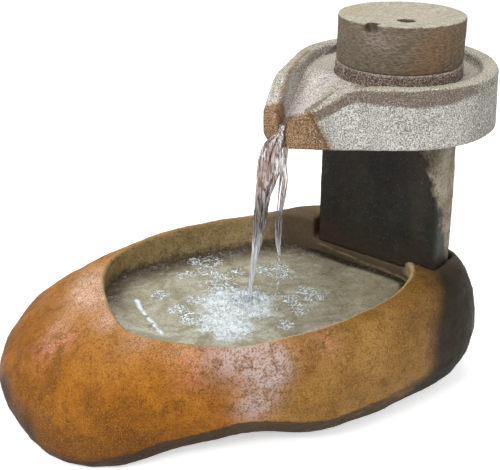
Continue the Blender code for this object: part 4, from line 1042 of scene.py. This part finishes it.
def strand(bm, path, seed):
    """A thread of water through (centre, half width, half thickness) stations."""
    rows = []
    for centre, wide, thick in path:
        row = []
        for side in range(STRAND_SIDES):
            angle = 2 * math.pi * side / STRAND_SIDES
            across, ahead = math.cos(angle), math.sin(angle)
            ridge = 1 + 0.28 * noise.noise(Vector((across * 1.6 + seed, ahead * 1.6, centre.z * 30)))
            row.append(bm.verts.new(centre + Vector((across * wide * ridge, ahead * thick * ridge, 0))))
        rows.append(row)
    for low, high in zip(rows, rows[1:]):
        for side in range(STRAND_SIDES):
            after = (side + 1) % STRAND_SIDES
            bm.faces.new((low[side], low[after], high[after], high[side]))
    for row in (rows[0], rows[-1]):
        bm.faces.new(row)


# Stations down each stream in the mill's frame: X of its left and right edge, Y and Z
MAIN_STREAM = (
    (-0.25, -0.24, -0.165, 0.602),
    (-0.256, -0.244, -0.183, 0.592),
    (-0.268, -0.2445, -0.1915, 0.582),
    (-0.2771, -0.2449, -0.193, 0.573),
    (-0.2869, -0.2474, -0.192, 0.55),
    (-0.2932, -0.2518, -0.191, 0.522),
    (-0.297, -0.2613, -0.19, 0.492),
    (-0.2982, -0.2688, -0.188, 0.456),
    (-0.2987, -0.2734, -0.187, 0.421),
    (-0.3002, -0.2772, -0.185, 0.391),
    (-0.3015, -0.2821, -0.184, 0.363),
    (-0.3033, -0.2901, -0.183, 0.335),
    (-0.3053, -0.2951, -0.182, 0.307),
    (-0.3085, -0.2991, -0.181, 0.275),
    (-0.3114, -0.3026, -0.179, 0.244),
    (-0.3148, -0.3063, -0.178, 0.208),
)
SIDE_STREAM = (
    (-0.244, -0.233, -0.195, 0.566),
    (-0.245, -0.235, -0.197, 0.546),
    (-0.2472, -0.2374, -0.198, 0.527),
    (-0.2478, -0.236, -0.2, 0.503),
    (-0.2499, -0.2384, -0.202, 0.478),
    (-0.2515, -0.2422, -0.204, 0.452),
    (-0.2537, -0.2457, -0.205, 0.431),
    (-0.2557, -0.2456, -0.207, 0.414),
    (-0.2564, -0.2458, -0.208, 0.393),
    (-0.2562, -0.2461, -0.21, 0.371),
    (-0.2539, -0.2468, -0.211, 0.354),
    (-0.2507, -0.2466, -0.212, 0.338),
)


def between(share, before, start, end, after):
    """A smooth curve's value between start and end, bent by the values beyond them."""
    bend = 2 * before - 5 * start + 4 * end - after
    twist = 3 * start - before - 3 * end + after
    return start + 0.5 * (share * (end - before) + share**2 * bend + share**3 * twist)


def smooth_rows(stations):
    """Rows evenly spaced along a smooth curve through the stations."""
    last = len(stations) - 1
    rows = []
    for index in range(STREAM_ROWS + 1):
        place = last * index / STREAM_ROWS
        at = min(int(place), last - 1)
        near = (stations[max(0, min(last, at + shift))] for shift in (-1, 0, 1, 2))
        rows.append([between(place - at, *values) for values in zip(*near)])
    return rows


def linked(name, bm):
    mesh = bpy.data.meshes.new(name)
    bm.to_mesh(mesh)
    bm.free()
    mesh.shade_smooth()
    return placed(name, mesh)


def stream(name, stations, strands, seed, spread):
    """Thin strands that twist round each other within the stream's width."""
    bm = bmesh.new()
    for number in range(strands):
        share = (number + 0.5) / strands * 2 - 1
        path = []
        for left, right, y, z in smooth_rows(stations):
            half = spread * (right - left) / 2
            wide = half * (0.24 + 0.1 * math.sin(z * 41 + number * 1.3 + seed))
            swing = math.sin(z * (13 + 2.3 * number) + number * 2.1 + seed)
            centre = MILL + Vector(((left + right) / 2, y, z))
            centre.x += (half - wide) * max(-1, min(1, 0.8 * share + 0.38 * swing))
            centre.y += half * 0.28 * math.cos(z * 17 + number * 1.7 + seed)
            path.append((centre, max(0.0009, wide), max(0.0008, 0.6 * wide)))
        strand(bm, path, seed + number * 3.7)
    return linked(name, bm)


def sheet(name, stations, seed):
    """A thin film a little behind the strands, with frayed edges."""
    path = []
    for left, right, y, z in smooth_rows(stations):
        frayed = 0.88 + 0.16 * noise.noise(Vector((seed, 0, z * 34)))
        centre = MILL + Vector(((left + right) / 2, y + 0.0015, z))
        path.append((centre, 1.15 * (right - left) / 2 * frayed, 0.0008))
    bm = bmesh.new()
    strand(bm, path, seed)
    return linked(name, bm)


stream_material = stream_look()
wear(stream("main_stream", MAIN_STREAM, strands=9, seed=0.3, spread=1.25), stream_material)
wear(sheet("main_sheet", MAIN_STREAM[2:], seed=2.2), sheet_look())
wear(stream("side_stream", SIDE_STREAM, strands=4, seed=5.1, spread=1.55), stream_material)


def drops(name, places):
    """Drops given as (place, radius, stretch)."""
    bm = bmesh.new()
    for place, radius, stretch in places:
        matrix = Matrix.Translation(place) @ Matrix.Diagonal((radius, radius, radius * stretch, 1))
        bmesh.ops.create_icosphere(bm, subdivisions=2, radius=1.0, matrix=matrix)
    return linked(name, bm)


FALLING_DROPS = 30
SPLASHED_DROPS = 260
DROPS_PER_SPARKLE = 3
SPLASH_SPREAD = 0.042
SPLASH_HEIGHT = 0.040
drop_material = drop_look()
draw = random.Random(7)

# Drops that fall from the side stream's foot
FALL_START = MILL + Vector((-0.2490, -0.2125, 0.345))
FALL_END = MILL + Vector((-0.2550, -0.2210, 0.215))
falling = []
for number in range(FALLING_DROPS):
    place = FALL_START.lerp(FALL_END, number / (FALLING_DROPS - 1))
    place += Vector((draw.uniform(-0.003, 0.003), draw.uniform(-0.002, 0.002), 0))
    falling.append((place, draw.uniform(0.0008, 0.002), draw.uniform(1.2, 3.4)))
wear(drops("falling_drops", falling), drop_material)

# Drops thrown up round the main stream's foot, and beads of foam on the sparkling places
splash = []
for _ in range(SPLASHED_DROPS):
    angle = draw.uniform(0, 2 * math.pi)
    away = abs(draw.gauss(0, SPLASH_SPREAD))
    height = draw.uniform(0, 1) ** 3 * SPLASH_HEIGHT * math.exp(-away / 0.05)
    place = IMPACT + Vector((away * math.cos(angle), away * math.sin(angle), height))
    splash.append((place, draw.uniform(0.0007, 0.0024), 1.0))
scatter = 0.4 * SPARKLE_REACH
for x, y in SPARKLE_PLACES:
    for _ in range(DROPS_PER_SPARKLE):
        place = Vector((x + draw.gauss(0, scatter), y + draw.gauss(0, scatter), WATER_LEVEL + 0.0015))
        splash.append((place, draw.uniform(0.0008, 0.002), 0.8))
wear(drops("splash_drops", splash), drop_material)


# Floor, light and camera


def studio():
    mesh = bpy.data.meshes.new("floor")
    half = 6
    corners = [(-half, -half, 0), (half, -half, 0), (half, half, 0), (-half, half, 0)]
    mesh.from_pydata(corners, [], [(0, 1, 2, 3)])
    floor = placed("floor", mesh)
    look = Look("floor_look")
    speck = look.noise(30.0, 2, 0.5)
    pale = look.ramp(speck, (0.3, (244, 244, 244)), (0.7, (250, 250, 250)))
    look.set(Base_Color=pale, Roughness=0.9)
    rays = look.node("ShaderNodeLightPath").outputs["Is Camera Ray"]
    look.set(Emission_Color=(1, 1, 1, 1), Emission_Strength=look.times(rays, 0.48))
    mesh.materials.append(look.material)

    world = bpy.data.worlds.new("studio")
    bpy.context.scene.world = world
    # The sky shows as white but lights the scene less
    sky = Nodes(world)
    rays = sky.node("ShaderNodeLightPath").outputs
    seen = {0: rays["Is Camera Ray"], 1: rays["Is Transmission Ray"]}
    shown = sky.node("ShaderNodeMath", seen, operation="MAXIMUM").outputs[0]
    level = sky.node("ShaderNodeMapRange", {"Value": shown, "To Min": 0.55, "To Max": 1.0})
    background = sky.tree.nodes["Background"]
    sky.feed(background.inputs["Color"], (1, 1, 1, 1))
    sky.feed(background.inputs["Strength"], level.outputs[0])

    for name, place, target, size, power in (
        ("key", (-1.9, -2.2, 2.6), (-0.1, 0, 0.3), 1.3, 62),
        ("fill", (2.4, -1.9, 1.7), (0.1, 0, 0.4), 1.8, 26),
        ("top", (0.2, 1.2, 3.0), (0, 0, 0.4), 1.8, 34),
    ):
        lamp = bpy.data.lights.new(name, "AREA")
        lamp.size = size
        lamp.energy = power
        made = placed(name, lamp)
        made.location = place
        made.rotation_euler = (Vector(target) - Vector(place)).to_track_quat("-Z", "Y").to_euler()


def place_camera():
    data = bpy.data.cameras.new("camera")
    camera = placed("camera", data)
    bpy.context.scene.camera = camera
    data.lens = CAMERA_FOCAL / PICTURE_WIDTH * data.sensor_width
    down = Matrix.Rotation(math.pi / 2 - CAMERA_PITCH, 4, "X")
    camera.matrix_world = Matrix.Translation(CAMERA_PLACE) @ down @ Matrix.Rotation(CAMERA_ROLL, 4, "Z")


studio()
place_camera()

bpy.context.scene.view_settings.view_transform = "Standard"
